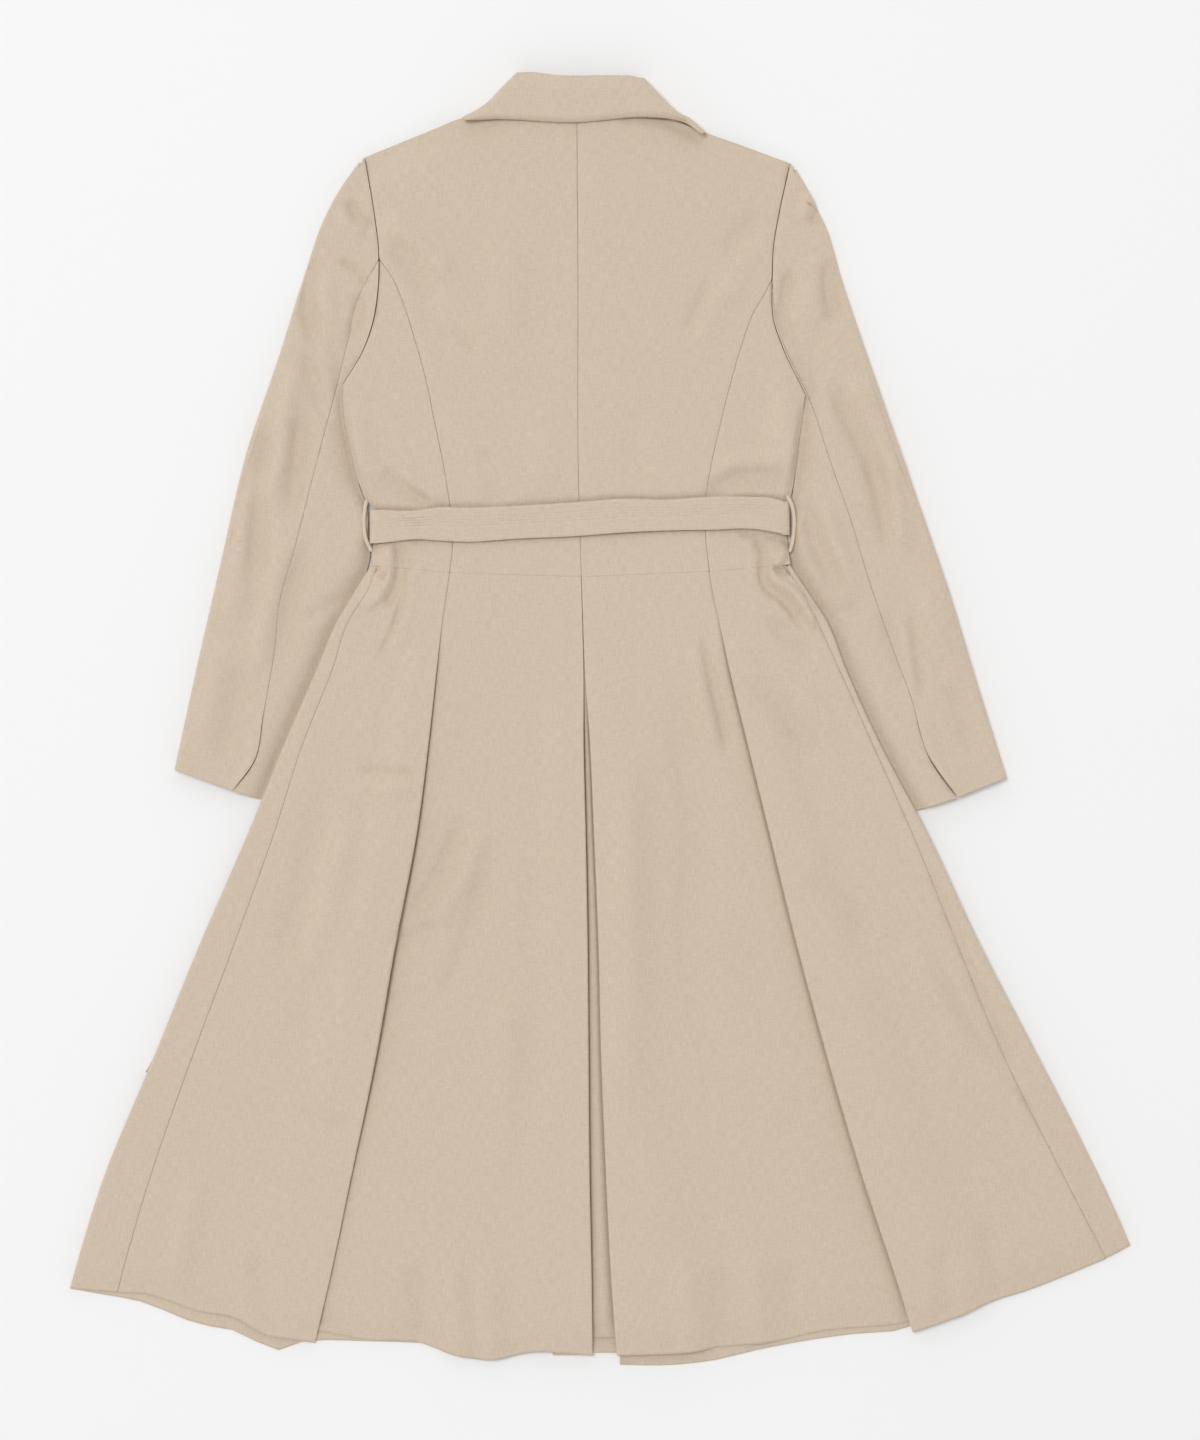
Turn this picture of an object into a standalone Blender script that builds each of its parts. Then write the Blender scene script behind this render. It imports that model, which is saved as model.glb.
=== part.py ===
"""A belted, flared coat that lies flat with its back up, panel by panel as it is cut and sewn.

The tables are in millimetres and the meshes in metres. +Y runs to the collar and +Z up from the
surface that the coat lies on. Left (-X) and right (+X) are the wearer's, seen from behind.
"""
import bmesh
import bpy
import numpy as np

MM = 0.001
SIDES = {"left": -1, "right": 1}

# Walls and gaps
CLOTH = 1.5             # wall of the coating
SEAM = 0.3              # between two pieces that are sewn together
PLEAT_AIR = 1.0         # between two laid layers of a pleat, sleeve or collar
BODY_AIR = 2.0          # between the fronts and the back
BELT_AIR = 0.8          # between the back and the belt
BELT_WALL = 2.5         # a doubled belt
BELT_WIDTH = 33.0
LOOP_WIDTH = 3.6        # a narrow cloth tube

# Middle heights of the laid layers
FRONT = CLOTH / 2
SLEEVE = FRONT + CLOTH + PLEAT_AIR
BACK = FRONT + CLOTH + BODY_AIR
RETURN = BACK + CLOTH + PLEAT_AIR       # turned-under cloth of a pleat
TOP = RETURN + CLOTH + PLEAT_AIR        # cloth over a pleat
BELT_FLOOR = BELT_WALL / 2
BELT_BACK = BACK + CLOTH / 2 + BELT_AIR + BELT_WALL / 2

# Where a panel comes down to the one it is sewn to
BODY_DROP = BODY_AIR - SEAM
SLEEVE_DROP = PLEAT_AIR - SEAM
PLEAT_DROP = PLEAT_AIR - SEAM
DROP_REACH = 40.0

# The fronts lap by the right one lying outside, so lowest; what lies over it rises
LAP = {"left": 70.0, "right": 20.0}     # x of each front edge
LAP_RISE = 2.0
LAP_SLOPE = 90.0
FRONT_WAIST = 152.5

# The collar's front ends lie on the floor and raise the neck of the bodice
NECK = {"x": -19.0, "half": 140.0, "slope": 60.0, "y": 545.0, "y_slope": 75.0, "rise": 2.5}

# Pleats: depth of the turned-under cloth at waist and hem, and the rise of the cloth over it
PLEAT_DEPTH = {"waist": 8.0, "fold": 45.0, "centre": 40.0}
PLEAT_CLEAR = 6.0
PLEAT_SLOPE = 25.0
UNDERLAY_HEM = -617.0

# Steps of the grids
ARM_STEPS = 4           # for each half of an armhole
FLANK_STEPS = 6
INNER_STEPS = 8         # of a sleeve below the underarm
TURN_STEPS = 4          # round a folded edge
LINE_SAMPLES = 400      # to measure a smooth line by
BLUNT = 0.2             # share of its first step that a pointed panel stops short
ACROSS = {
    "shoulder": 3, "back_neck": 3, "front_neck": 4, "side_bodice": 4, "flat": 4, "ramp": 3, "return": 2,
    "front_skirt": 7, "underlay": 4, "top_sleeve": 3, "under_sleeve": 4, "collar_front": 3, "collar_back": 8,
}
COLLAR_ROWS = 5
STAND_ROWS = 2
BELT_STEPS = {"bend": 7, "tail": 10, "wrap": 6, "back": 25}
LOOP_STEPS = 10
SKIRT_ROWS = np.array([0, .02, .05, .09, .14, .2, .27, .35, .44, .54, .64, .74, .83, .92, 1])

COAT_BEIGE = (0.62, 0.51, 0.40)
LOOP_BEIGE = (0.67, 0.55, 0.42)


def table(columns, *rows):
    """A dictionary of arrays, one for each named column."""
    return dict(zip(columns.split(), np.array(rows, float).T))


# The skirt's edges, seams and pleat folds: a row for each level, with the x of each line there
SKIRT = table(
    "y     left_edge left_seam left_fold left_pleat right_pleat right_fold right_seam right_edge",
    (155,  -228,     -221,     -149,     -18.7,     -18.7,      108,       182,       189.5),
    (130,  -243.7,   -231,     -152.5,   -18.2,     -18.2,      112,       200,       206),
    (100,  -261.6,   -250,     -157,     -17.4,     -17.2,      118.4,     215.6,     225.6),
    (50,   -283,     -267,     -162.7,   -16.2,     -15.4,      129,       238.7,     245.8),
    (-20,  -313.5,   -295,     -170.4,   -16,       -10.5,      146,       270,       277.7),
    (-110, -350,     -324,     -182,     -14,       -6.5,       168,       305,       325),
    (-220, -398,     -363.5,   -203,     -12,       -2,         195,       355,       377),
    (-340, -447,     -408,     -224,     -11,       1,          227.5,     412,       439),
    (-460, -497,     -450,     -249,     -10,       6,          263,       471,       500.5),
    (-560, -527.6,   -479,     -270,     -8,        11,         296,       519,       545.4),
    (-640, -550,     -500,     -289,     -7,        17,         321,       557,       580),
)
# Where each of those lines starts and ends, as y
SKIRT_ENDS = table(
    "left_edge left_seam left_fold left_pleat right_pleat right_fold right_seam right_edge",
    (152.5,    152,      147,      143,       143,        148,       152,       152.5),
    (-568,     -572,     -622,     -634,      -634,       -611,      -538,      -525),
)
# Hem of each skirt panel, as y over x
HEMS = {
    "front_left": table(
        "x y", (-530, -568), (-504, -573), (-460, -581), (-404, -603), (-353, -615), (-330, -630),
        (-300, -622), (-231, -621), (-120, -626), (-8, -632), (20, -632), (90, -627)),
    "front_right": table(
        "x y", (20, -644.5), (65, -645), (113, -640), (160, -629), (260, -613), (298, -610),
        (330, -598), (420, -564), (500, -534), (530, -525)),
    "side_left": table(
        "x y", (-483, -572), (-454, -574), (-401, -591), (-361, -599), (-336, -614), (-285, -622)),
    "side_right": table(
        "x y", (313, -611), (331, -609), (355, -597), (385, -583), (421, -572), (507, -538)),
    "back_left": table(
        "x y", (-325, -605), (-279, -611), (-231, -620), (-181, -622), (-150, -633), (-111, -639),
        (-66, -631), (-8, -634)),
    "back_right": table(
        "x y", (19, -633), (75, -632), (126, -626), (180, -620), (220, -611), (306, -602), (355, -588)),
}
WAIST = table("x y", (-226, 154), (-150, 147), (-18.5, 143), (109, 148), (189, 155))

# Seams and edges of bodice and sleeves, each a few (x, y) points from the top down
ARMHOLE = {
    "left": ((-235, 562), (-226, 510), (-221, 468), (-221.5, 430), (-226, 400), (-237, 368), (-257, 335)),
    "right": ((190, 556), (179, 507), (173, 470), (172, 436), (173, 401), (182, 373), (205, 325)),
}
PRINCESS_AT = {"left": 0.435, "right": 0.49}    # share of the armhole above the princess seam
UNDERARM_AT = {"left": 0.247, "right": 0.226}   # share of the hind-arm seam above the underarm
PRINCESS = {
    "left": ((-209, 444), (-196, 415), (-185, 380), (-175, 345), (-166, 302), (-153, 236), (-147, 175),
             (-150, 147)),
    "right": ((165, 427), (153, 406), (141, 373), (130, 335), (120, 295), (106, 222), (105, 187), (109, 148)),
}
FLANK = {
    "left": ((-254, 305), (-246, 264), (-236, 236), (-224.5, 214), (-222.5, 190), (-223, 170), (-226, 154)),
    "right": ((198, 283), (193, 248), (185, 222), (182.5, 200), (183, 176), (189, 155)),
}
CENTRE = ((-23, 608), (-22, 460), (-21, 220), (-18.5, 143))
SHOULDER = {
    "left": ((-235, 562), (-160, 592), (-130, 600), (-114, 603)),
    "right": ((190, 556), (140, 573), (104, 580.5), (86, 589), (72, 600)),
}
FRONT_NECK = {
    "left": ((-114, 603), (-60, 560), (20, 545), (90, 545)),
    "right": ((72, 600), (52, 568), (20, 546)),
}
SLEEVE_OUTER = {
    "left": ((-241, 557), (-260, 530), (-278, 495), (-292, 455), (-320, 365), (-355, 260), (-378, 160),
             (-396, 82), (-425, -50)),
    "right": ((196, 550), (210, 525), (224, 496), (243, 435), (280, 325), (315, 225), (351, 120), (374, 44),
              (406, -58)),
}
HIND_SEAM = {
    "left": ((-243, 418), (-252, 380), (-264, 330), (-287, 240), (-305, 170), (-319, 120), (-326, 61),
             (-336, 3), (-344, -40), (-366, -71)),
    "right": ((180, 401), (190, 372), (212, 322), (230, 257), (250, 200), (268, 140), (295, 64), (309, 26),
              (330, -41), (356, -78)),
}
SLEEVE_INNER = {
    "left": ((-258, 305), (-250.5, 262), (-243, 225), (-239, 190), (-239, 150), (-250, 100), (-274, 20),
             (-306, -89)),
    "right": ((201.5, 283), (198.5, 248), (197.5, 200), (197.5, 155), (210, 110), (246, 20), (286, -100)),
}
COLLAR_FOLD = {
    "left": ((-84, 643), (-99, 629), (-112, 616), (-134, 601)),
    "right": ((46, 636), (60, 623), (79, 605), (105, 586)),
}
COLLAR_END = {"left": ((-28, 615), (-40, 556)), "right": ((2, 612), (12, 556))}
COLLAR_ROLL = ((-72, 643.3), (-41, 642), (18, 641), (31, 640))
COLLAR_LOWER = ((-110, 601), (-55, 597), (-26, 596), (31, 601), (60, 598))
STAND_SIDE = {"left": ((-74, 638), (-100, 604.5)), "right": ((38, 632), (62, 601.5))}

# The belt: its middle line over the back, the edges that it turns round, and its hidden tails
BELT_EDGE = {"left": -230.0, "right": 189.5}
BELT_LINE = table(
    "x y", (-230, 192.5), (-178, 194.5), (-85, 197), (-20, 200), (63, 204), (149, 206.5), (190, 201))
TAIL_TURN = 26.0        # radius at which a tail turns down on the floor
TAIL_START = 17.0       # from the edge to where that turn starts
TAIL_TURN_END = 107.0   # degrees turned
TAIL = {
    "left": ((-202, 115), (-229, 20), (-275, -80), (-335, -180), (-440, -360)),
    "right": ((162, 120), (187, 30), (228, -70), (285, -190), (340, -310)),
}
LOOP = {
    "left": table("x y z", (-235, 224, 5.2), (-234.8, 214, 6), (-234.6, 195, 6.5), (-233.6, 176, 6),
                  (-228.5, 165, 5.2)),
    "right": table("x y z", (190.5, 225.5, 5.2), (192.8, 217.5, 6), (193.6, 198, 6.5), (193, 178, 6),
                   (190.5, 166, 5.2)),
}

# How far the coat is raised by the sleeves and belt tails under its sides: full outside the x given
LIFT = table(
    "y     left  right height",
    (-440, -455, 370,  0),
    (-365, -400, 325,  3.3),
    (-220, -315, 255,  3.3),
    (-140, -265, 220,  4.7),
    (20,   -190, 155,  4.7),
    (150,  -160, 120,  4.7),
    (172,  -155, 118,  3.5),
    (245,  -155, 118,  3.3),
    (300,  -155, 118,  0),
)
LIFT_SLOPE = 120.0


def smooth(share):
    """An S-shaped step from 0 to 1 as share goes from 0 to 1."""
    share = np.clip(share, 0, 1)
    return share * share * (3 - 2 * share)


def through(x, known_x, known_y):
    """A smooth curve through known points, with each point's slope from its neighbours."""
    slope = np.gradient(known_y, known_x)
    i = np.clip(np.searchsorted(known_x, x) - 1, 0, len(known_x) - 2)
    step = known_x[i + 1] - known_x[i]
    t = (x - known_x[i]) / step
    value = (1 + 2 * t) * (1 - t) ** 2 * known_y[i] + t * t * (3 - 2 * t) * known_y[i + 1]
    return value + step * t * (1 - t) * ((1 - t) * slope[i] - t * slope[i + 1])


def steps(count):
    """Even shares from 0 to 1."""
    return np.linspace(0, 1, count + 1)


def two_runs(at, first, last):
    """Shares from 0 to 1 in two runs of even steps, which meet at a given share."""
    return np.r_[at * steps(first), at + (1 - at) * steps(last)[1:]]


def line(points, shares):
    """A smooth line through a few points, read at the given shares of its length."""
    points = np.array(points, float)
    chord = np.r_[0, np.cumsum(np.linalg.norm(np.diff(points, axis=0), axis=1))]
    fine = np.linspace(0, chord[-1], LINE_SAMPLES)
    dense = np.stack([through(fine, chord, column) for column in points.T], axis=1)
    length = np.r_[0, np.cumsum(np.linalg.norm(np.diff(dense, axis=0), axis=1))]
    return np.stack([np.interp(shares * length[-1], length, column) for column in dense.T], axis=1)


def join(*lines):
    """Lines that follow each other, as one."""
    return np.vstack([lines[0]] + [part[1:] for part in lines[1:]])


def aside(points, amount):
    """A line moved square to itself: to +X where it runs down the coat and amount is positive."""
    along = np.gradient(points, axis=0)
    along /= np.linalg.norm(along, axis=1)[:, None]
    return points + np.stack([-along[:, 1], along[:, 0]], axis=1) * np.reshape(amount, (-1, 1))


def ruled(first, last, shares):
    """Lines at the given shares of the way from one line to another, as columns of a grid."""
    return first[:, None] + (last - first)[:, None] * shares[None, :, None]


def patch(first, last, top, bottom):
    """A grid that fills four edge lines: two run down it, and two across."""
    u = np.linspace(0, 1, len(top))[None, :, None]
    v = np.linspace(0, 1, len(first))[:, None, None]
    across = (1 - u) * first[:, None] + u * last[:, None]
    down = (1 - v) * top[None] + v * bottom[None]
    corners = (1 - v) * ((1 - u) * first[0] + u * last[0]) + v * ((1 - u) * first[-1] + u * last[-1])
    return across + down - corners


def near(plan, edge, reach):
    """1 on an edge line, falling smoothly to 0 at reach from it."""
    start, run = edge[:-1], np.diff(edge, axis=0)
    offset = plan[..., None, :] - start
    share = np.clip((offset * run).sum(-1) / (run * run).sum(-1), 0, 1)
    gap = np.linalg.norm(offset - share[..., None] * run, axis=-1).min(-1)
    return 1 - smooth(gap / reach)


def lift(plan, lapped=True):
    """How far what lies underneath raises the coat at each place, over the lap too or not."""
    x, y = plan[..., 0], plan[..., 1]
    left = smooth(1 - (x - np.interp(y, LIFT["y"], LIFT["left"])) / LIFT_SLOPE)
    right = smooth(1 + (x - np.interp(y, LIFT["y"], LIFT["right"])) / LIFT_SLOPE)
    sides = np.interp(y, LIFT["y"], LIFT["height"]) * np.maximum(left, right)
    neck_x = smooth(1 - (np.abs(x - NECK["x"]) - NECK["half"]) / NECK["slope"])
    neck_y = smooth(1 - (NECK["y"] - y) / NECK["y_slope"])
    lap = smooth(1 - (LAP["right"] - x) / LAP_SLOPE) * smooth(1 - (x - LAP["left"]) / LAP_SLOPE)
    return sides + NECK["rise"] * neck_x * neck_y + lapped * LAP_RISE * lap


def raised(plan, height):
    """Plan points with their height added."""
    return np.dstack([plan, np.broadcast_to(height, plan.shape[:2])])


def turn(edge, inward, low, high):
    """A folded edge: columns that go round from height low to high, square to the edge line."""
    radius = np.abs(high - low) / 2
    columns = []
    for angle in np.linspace(0, np.pi, TURN_STEPS + 1):
        plan = aside(edge, inward * (radius * (1 - np.sin(angle)) + CLOTH / 2))
        columns.append(np.column_stack([plan, (low + high) / 2 + (low - high) / 2 * np.cos(angle)]))
    return np.stack(columns, axis=1)


def finish(colour):
    """A plain matt cloth finish."""
    material = bpy.data.materials.new("cloth")
    material.use_nodes = True
    shader = material.node_tree.nodes["Principled BSDF"]
    shader.inputs["Base Color"].default_value = (*colour, 1)
    shader.inputs["Roughness"].default_value = 0.9
    shader.inputs["Metallic"].default_value = 0
    return material


def place(name, data, colour):
    """A named object in the coat's collection."""
    data.materials.append(finish(colour))
    piece = bpy.data.objects.new(name, data)
    coat.objects.link(piece)
    return piece


def sheet(name, *grids, wall=CLOTH):
    """A cloth panel: a grid of points in the middle of its wall, from grids joined side by side."""
    points = np.concatenate([grids[0]] + [grid[:, 1:] for grid in grids[1:]], axis=1)
    rows, columns = points.shape[:2]
    form = bmesh.new()
    bmesh.ops.create_grid(form, x_segments=columns - 1, y_segments=rows - 1, size=1)
    for vert, point in zip(form.verts, points.reshape(-1, 3) * MM):
        vert.co = point
    mesh = bpy.data.meshes.new(name)
    form.to_mesh(mesh)
    form.free()
    mesh.shade_smooth()
    shell = place(name, mesh, COAT_BEIGE).modifiers.new("wall", "SOLIDIFY")
    shell.thickness = wall * MM
    shell.offset = 0
    shell.use_even_offset = True


def armhole(side):
    """The armhole in two runs of equal steps, above and below the princess seam."""
    return line(ARMHOLE[side], two_runs(PRINCESS_AT[side], ARM_STEPS, ARM_STEPS))


def from_armhole(side, points, shares):
    """A seam that starts at the armhole where the princess seam does."""
    return line((armhole(side)[ARM_STEPS], *points), shares)


def blunt(seam):
    """A line whose first point is a little way along, so that the panel has no needle point."""
    seam = seam.copy()
    seam[0] += BLUNT * (seam[1] - seam[0])
    return seam


def bodice(side, out):
    """Back, side and front of one half of the bodice. out is -1 on the left and 1 on the right."""
    arm = armhole(side)
    flank = line((arm[-1], *FLANK[side]), steps(FLANK_STEPS))
    princess = from_armhole(side, PRINCESS[side], steps(ARM_STEPS + FLANK_STEPS))
    shoulder = line(SHOULDER[side], steps(ACROSS["shoulder"]))
    centre = aside(line(CENTRE, steps(2 * ARM_STEPS + FLANK_STEPS)), out * SEAM / 2)

    outer = aside(join(arm[:ARM_STEPS + 1], princess), -out * SEAM / 2)
    neck = ruled(shoulder[-1:], centre[:1], steps(ACROSS["back_neck"]))[0]
    top = join(np.vstack([outer[:1], shoulder[1:]]), neck)
    waist = ruled(outer[-1:], centre[-1:], steps(len(top) - 1))[0]
    plan = patch(outer, centre, top, waist)
    plan[-1, :, 1] += SEAM / 2
    height = BACK + lift(plan) - BODY_DROP * near(plan, shoulder, DROP_REACH)
    sheet(f"back_bodice_{side}", raised(plan, height))

    outer = aside(blunt(join(arm[ARM_STEPS:], flank)), -out * SEAM / 2)
    inner = aside(blunt(princess), out * SEAM / 2)
    plan = ruled(outer, inner, steps(ACROSS["side_bodice"]))
    plan[-1, :, 1] += SEAM / 2
    height = BACK + lift(plan) - BODY_DROP * near(plan, flank, DROP_REACH)
    sheet(f"side_bodice_{side}", raised(plan, height))

    outer = aside(join(arm, flank), -out * SEAM / 2)
    edge = line((FRONT_NECK[side][-1], (LAP[side], FRONT_WAIST)), steps(len(outer) - 1))
    outer[-1, 1] = FRONT_WAIST
    top = join(np.vstack([outer[:1], shoulder[1:]]), line(FRONT_NECK[side], steps(ACROSS["front_neck"])))
    waist = ruled(outer[-1:], edge[-1:], steps(len(top) - 1))[0]
    plan = patch(outer, edge, top, waist)
    plan[-1, :, 1] += SEAM / 2
    sheet(f"front_bodice_{side}", raised(plan, FRONT + lift(plan, side == "left")))


def skirt_line(name):
    """Where an edge, seam or fold of the skirt runs, at each row from waist to hem."""
    top, hem = SKIRT_ENDS[name]
    y = top + SKIRT_ROWS * (hem - top)
    return np.stack([through(-y, -SKIRT["y"], SKIRT[name]), y], axis=1)


def trimmed(plan, hem, top=None):
    """A skirt panel's plan, with its rows spread from the waist seam, or a level, to the hem."""
    start = np.interp(plan[0, :, 0], WAIST["x"], WAIST["y"]) if top is None else top
    end = np.interp(plan[-1, :, 0], hem["x"], hem["y"])
    plan[..., 1] = start - SEAM / 2 + SKIRT_ROWS[:, None] * (end - start + SEAM / 2)
    return plan


def pleat_depth(kind):
    """Depth of a pleat at each row of the skirt."""
    return PLEAT_DEPTH["waist"] + SKIRT_ROWS * (PLEAT_DEPTH[kind] - PLEAT_DEPTH["waist"])


def pleated(name, body, edge, out, depth, hem):
    """A panel that rises over its pleat, folds at its edge and turns back under by depth."""
    foot = aside(edge, out * (depth + PLEAT_CLEAR + PLEAT_SLOPE))
    crest = aside(edge, out * (depth + PLEAT_CLEAR))
    rise = steps(ACROSS["ramp"])
    beside = ruled(body[:, -1], foot, steps(ACROSS["flat"]))
    flat = trimmed(np.concatenate([body, beside[:, 1:]], axis=1), hem)
    if body.shape[1] == 1:
        flat[:, 0] = body[:, 0]     # a slanted side seam keeps its own rows
    ramp = trimmed(ruled(foot, crest, rise), hem)
    ramp_height = BACK + (TOP - BACK) * smooth(rise) + lift(ramp)
    high = lift(edge[:, None])[:, 0]
    fold = turn(edge, out, TOP + high, RETURN + high)
    lip = ruled(ramp[:, -1], fold[:, 0, :2], steps(1))
    under = ruled(fold[:, -1, :2], aside(edge, out * depth), steps(ACROSS["return"]))
    under_height = RETURN + lift(under)
    under_height[:, 0] = RETURN + high
    under_height[:, -1] -= PLEAT_DROP
    lip_height = TOP + lift(lip)
    lip_height[:, -1] = TOP + high
    sheet(name, raised(flat, BACK + lift(flat)), raised(ramp, ramp_height), raised(lip, lip_height), fold,
          raised(under, under_height))


def skirt(side, out):
    """Back, side and front of one half of the skirt."""
    edge, seam = skirt_line(f"{side}_edge"), skirt_line(f"{side}_seam")
    fold, pleat = skirt_line(f"{side}_fold"), skirt_line(f"{side}_pleat")

    depth = pleat_depth("fold")
    tucked = ruled(aside(fold, out * depth), fold, steps(ACROSS["return"]))
    pleated(f"back_skirt_{side}", tucked, aside(pleat, out * SEAM / 2), out, pleat_depth("centre"),
            HEMS[f"back_{side}"])
    side_edge = aside(seam, -out * SEAM / 2)[:, None]
    pleated(f"side_skirt_{side}", side_edge, fold, out, depth, HEMS[f"side_{side}"])

    hem, lapped = HEMS[f"front_{side}"], side == "left"
    high = lift(edge[:, None], lapped)[:, 0]
    wrap = turn(edge, -out, FRONT + high, BACK + high)
    opening = np.column_stack([np.full(len(edge), LAP[side]), edge[:, 1]])
    lower = trimmed(ruled(opening, wrap[:, 0, :2], steps(ACROSS["front_skirt"])), hem, FRONT_WAIST)
    lower_height = FRONT + lift(lower, lapped)
    lower_height[:, -1] = FRONT + high
    lower[:, -1] = wrap[:, 0, :2]
    upper = ruled(wrap[:, -1, :2], aside(seam, out * SEAM / 2), steps(ACROSS["return"]))
    upper_height = BACK + lift(upper)
    upper_height[:, 0] = BACK + high
    sheet(f"front_skirt_{side}", raised(lower, lower_height), wrap, raised(upper, upper_height))


def pleat_underlay():
    """The piece that shows inside the centre pleat, sewn to both turned-under edges."""
    depth = pleat_depth("centre")
    left = aside(skirt_line("left_pleat"), -depth)
    right = aside(skirt_line("right_pleat"), depth)
    hem = table("x y", (left[-1, 0], UNDERLAY_HEM), (right[-1, 0], UNDERLAY_HEM))
    plan = trimmed(ruled(left, right, steps(ACROSS["underlay"])), hem)
    sheet("pleat_underlay", raised(plan, BACK + lift(plan)))


def sleeve(side, out):
    """A flat two-piece sleeve: the top piece goes round the outer edge to the whole lower layer."""
    arm = armhole(side)
    at = UNDERARM_AT[side]
    hind = from_armhole(side, HIND_SEAM[side], two_runs(at, ARM_STEPS, INNER_STEPS))
    inner = line((arm[-1], *SLEEVE_INNER[side]), steps(INNER_STEPS))
    outer = line(SLEEVE_OUTER[side], steps(2 * ARM_STEPS + INNER_STEPS))

    fold = turn(outer, -out, np.full(len(outer), FRONT), np.full(len(outer), SLEEVE))
    lower = ruled(aside(join(arm, inner), out * SEAM / 2), fold[:, 0, :2], steps(ACROSS["top_sleeve"]))
    seam = aside(join(arm[:ARM_STEPS + 1], hind), out * SEAM / 2)
    upper = ruled(fold[:, -1, :2], seam, steps(ACROSS["top_sleeve"]))
    sheet(f"top_sleeve_{side}", raised(lower, FRONT), fold, raised(upper, SLEEVE))

    seam = aside(blunt(hind), -out * SEAM / 2)
    edge = aside(blunt(join(arm[ARM_STEPS:], inner)), out * SEAM / 2)
    plan = ruled(seam, edge, steps(ACROSS["under_sleeve"]))
    sheet(f"under_sleeve_{side}", raised(plan, SLEEVE - SLEEVE_DROP * near(plan, inner, DROP_REACH)))


def collar():
    """The leaf goes round the neck, over the back and under the fronts; the stand is inside it."""
    folds, fronts = {}, {}
    for side, out in SIDES.items():
        fold = line(COLLAR_FOLD[side], steps(COLLAR_ROWS))
        leaf = BACK + CLOTH + PLEAT_AIR + lift(fold[:, None])[:, 0]
        folds[side] = turn(fold, -out, np.full(len(fold), FRONT), leaf)
        end = line(COLLAR_END[side], steps(COLLAR_ROWS))
        fronts[side] = raised(ruled(end, folds[side][:, 0, :2], steps(ACROSS["collar_front"])), FRONT)
    start, stop = folds["left"][:, -1], folds["right"][:, -1]
    across = steps(ACROSS["collar_back"])
    roll = line((start[0, :2], *COLLAR_ROLL, stop[0, :2]), across)
    lower = line((start[-1, :2], *COLLAR_LOWER, stop[-1, :2]), across)
    plan = patch(start[:, :2], stop[:, :2], roll, lower)
    height = BACK + CLOTH + PLEAT_AIR + lift(plan)
    height[:, 0], height[:, -1] = start[:, 2], stop[:, 2]
    sheet("collar_leaf", fronts["left"], folds["left"], raised(plan, height), folds["right"][:, ::-1],
          fronts["right"][:, ::-1])

    left, right = (line(STAND_SIDE[side], steps(STAND_ROWS)) for side in SIDES)
    half = steps(ACROSS["back_neck"])
    centre = np.array([CENTRE[0]])
    seam = join(ruled(left[-1:], centre, half)[0], ruled(centre, right[-1:], half)[0])
    roll = ruled(left[:1], right[:1], steps(len(seam) - 1))[0]
    plan = patch(left, right, roll, seam + (0, SEAM))
    sheet("collar_stand", raised(plan, BACK + lift(plan)))


def belt_tail(side, out):
    """Middle line of a belt tail on the floor, from the coat's edge to its end."""
    x = BELT_EDGE[side] - out * TAIL_START
    y = np.interp(BELT_EDGE[side], BELT_LINE["x"], BELT_LINE["y"])
    angle = np.radians(90 + out * TAIL_TURN_END * steps(BELT_STEPS["bend"]))
    arc = np.stack([x + TAIL_TURN * np.cos(angle), y - TAIL_TURN + TAIL_TURN * np.sin(angle)], axis=1)
    return join(arc, line((arc[-1], *TAIL[side]), steps(BELT_STEPS["tail"])))


def belt():
    """One doubled strip: tail, round the left edge, over the back, round the right edge, tail."""
    half = BELT_WIDTH / 2 * np.array([1, 0, -1])
    strips = {}
    for side, out in SIDES.items():
        edge = np.array([(BELT_EDGE[side], np.interp(BELT_EDGE[side], BELT_LINE["x"], BELT_LINE["y"]))])
        high = BELT_BACK + lift(edge[None])[0, 0]
        radius = (high - BELT_FLOOR) / 2
        angle = np.pi * steps(BELT_STEPS["wrap"])
        x = edge[0, 0] - out * (radius + BELT_WALL / 2 - radius * np.sin(angle))
        z = BELT_FLOOR + radius * (1 - np.cos(angle))
        y = edge[0, 1] + half
        wrap = np.dstack(np.broadcast_arrays(x[:, None], y[None], z[:, None]))
        tail = belt_tail(side, out)
        along = np.gradient(tail, axis=0)
        along /= np.linalg.norm(along, axis=1)[:, None]
        across = out * np.stack([along[:, 1], -along[:, 0]], axis=1)
        flat = tail[:, None] + half[None, :, None] * across[:, None]
        strips[side] = np.concatenate([raised(flat, BELT_FLOOR)[::-1], wrap])
    x = np.linspace(strips["left"][-1, 0, 0], strips["right"][-1, 0, 0], BELT_STEPS["back"] + 1)[1:-1]
    middle = np.stack([x, through(x, BELT_LINE["x"], BELT_LINE["y"])], axis=1)
    flat = middle[:, None] + half[None, :, None] * np.array([0, 1])
    span = raised(flat, BELT_BACK + lift(flat))
    sheet("belt", np.concatenate([strips["left"], span, strips["right"][::-1]]), wall=BELT_WALL)


def belt_loop(side):
    """A narrow cloth tube that stands out from the side seam round the belt."""
    points = line(np.stack([LOOP[side][axis] for axis in "xyz"], axis=1), steps(LOOP_STEPS))
    curve = bpy.data.curves.new(f"belt_loop_{side}", "CURVE")
    curve.dimensions = "3D"
    curve.bevel_depth = LOOP_WIDTH / 2 * MM
    curve.bevel_resolution = 1
    curve.use_fill_caps = True
    path = curve.splines.new("POLY")
    path.points.add(len(points) - 1)
    path.points.foreach_set("co", np.column_stack([points * MM, np.ones(len(points))]).ravel())
    place(f"belt_loop_{side}", curve, LOOP_BEIGE)


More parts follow.
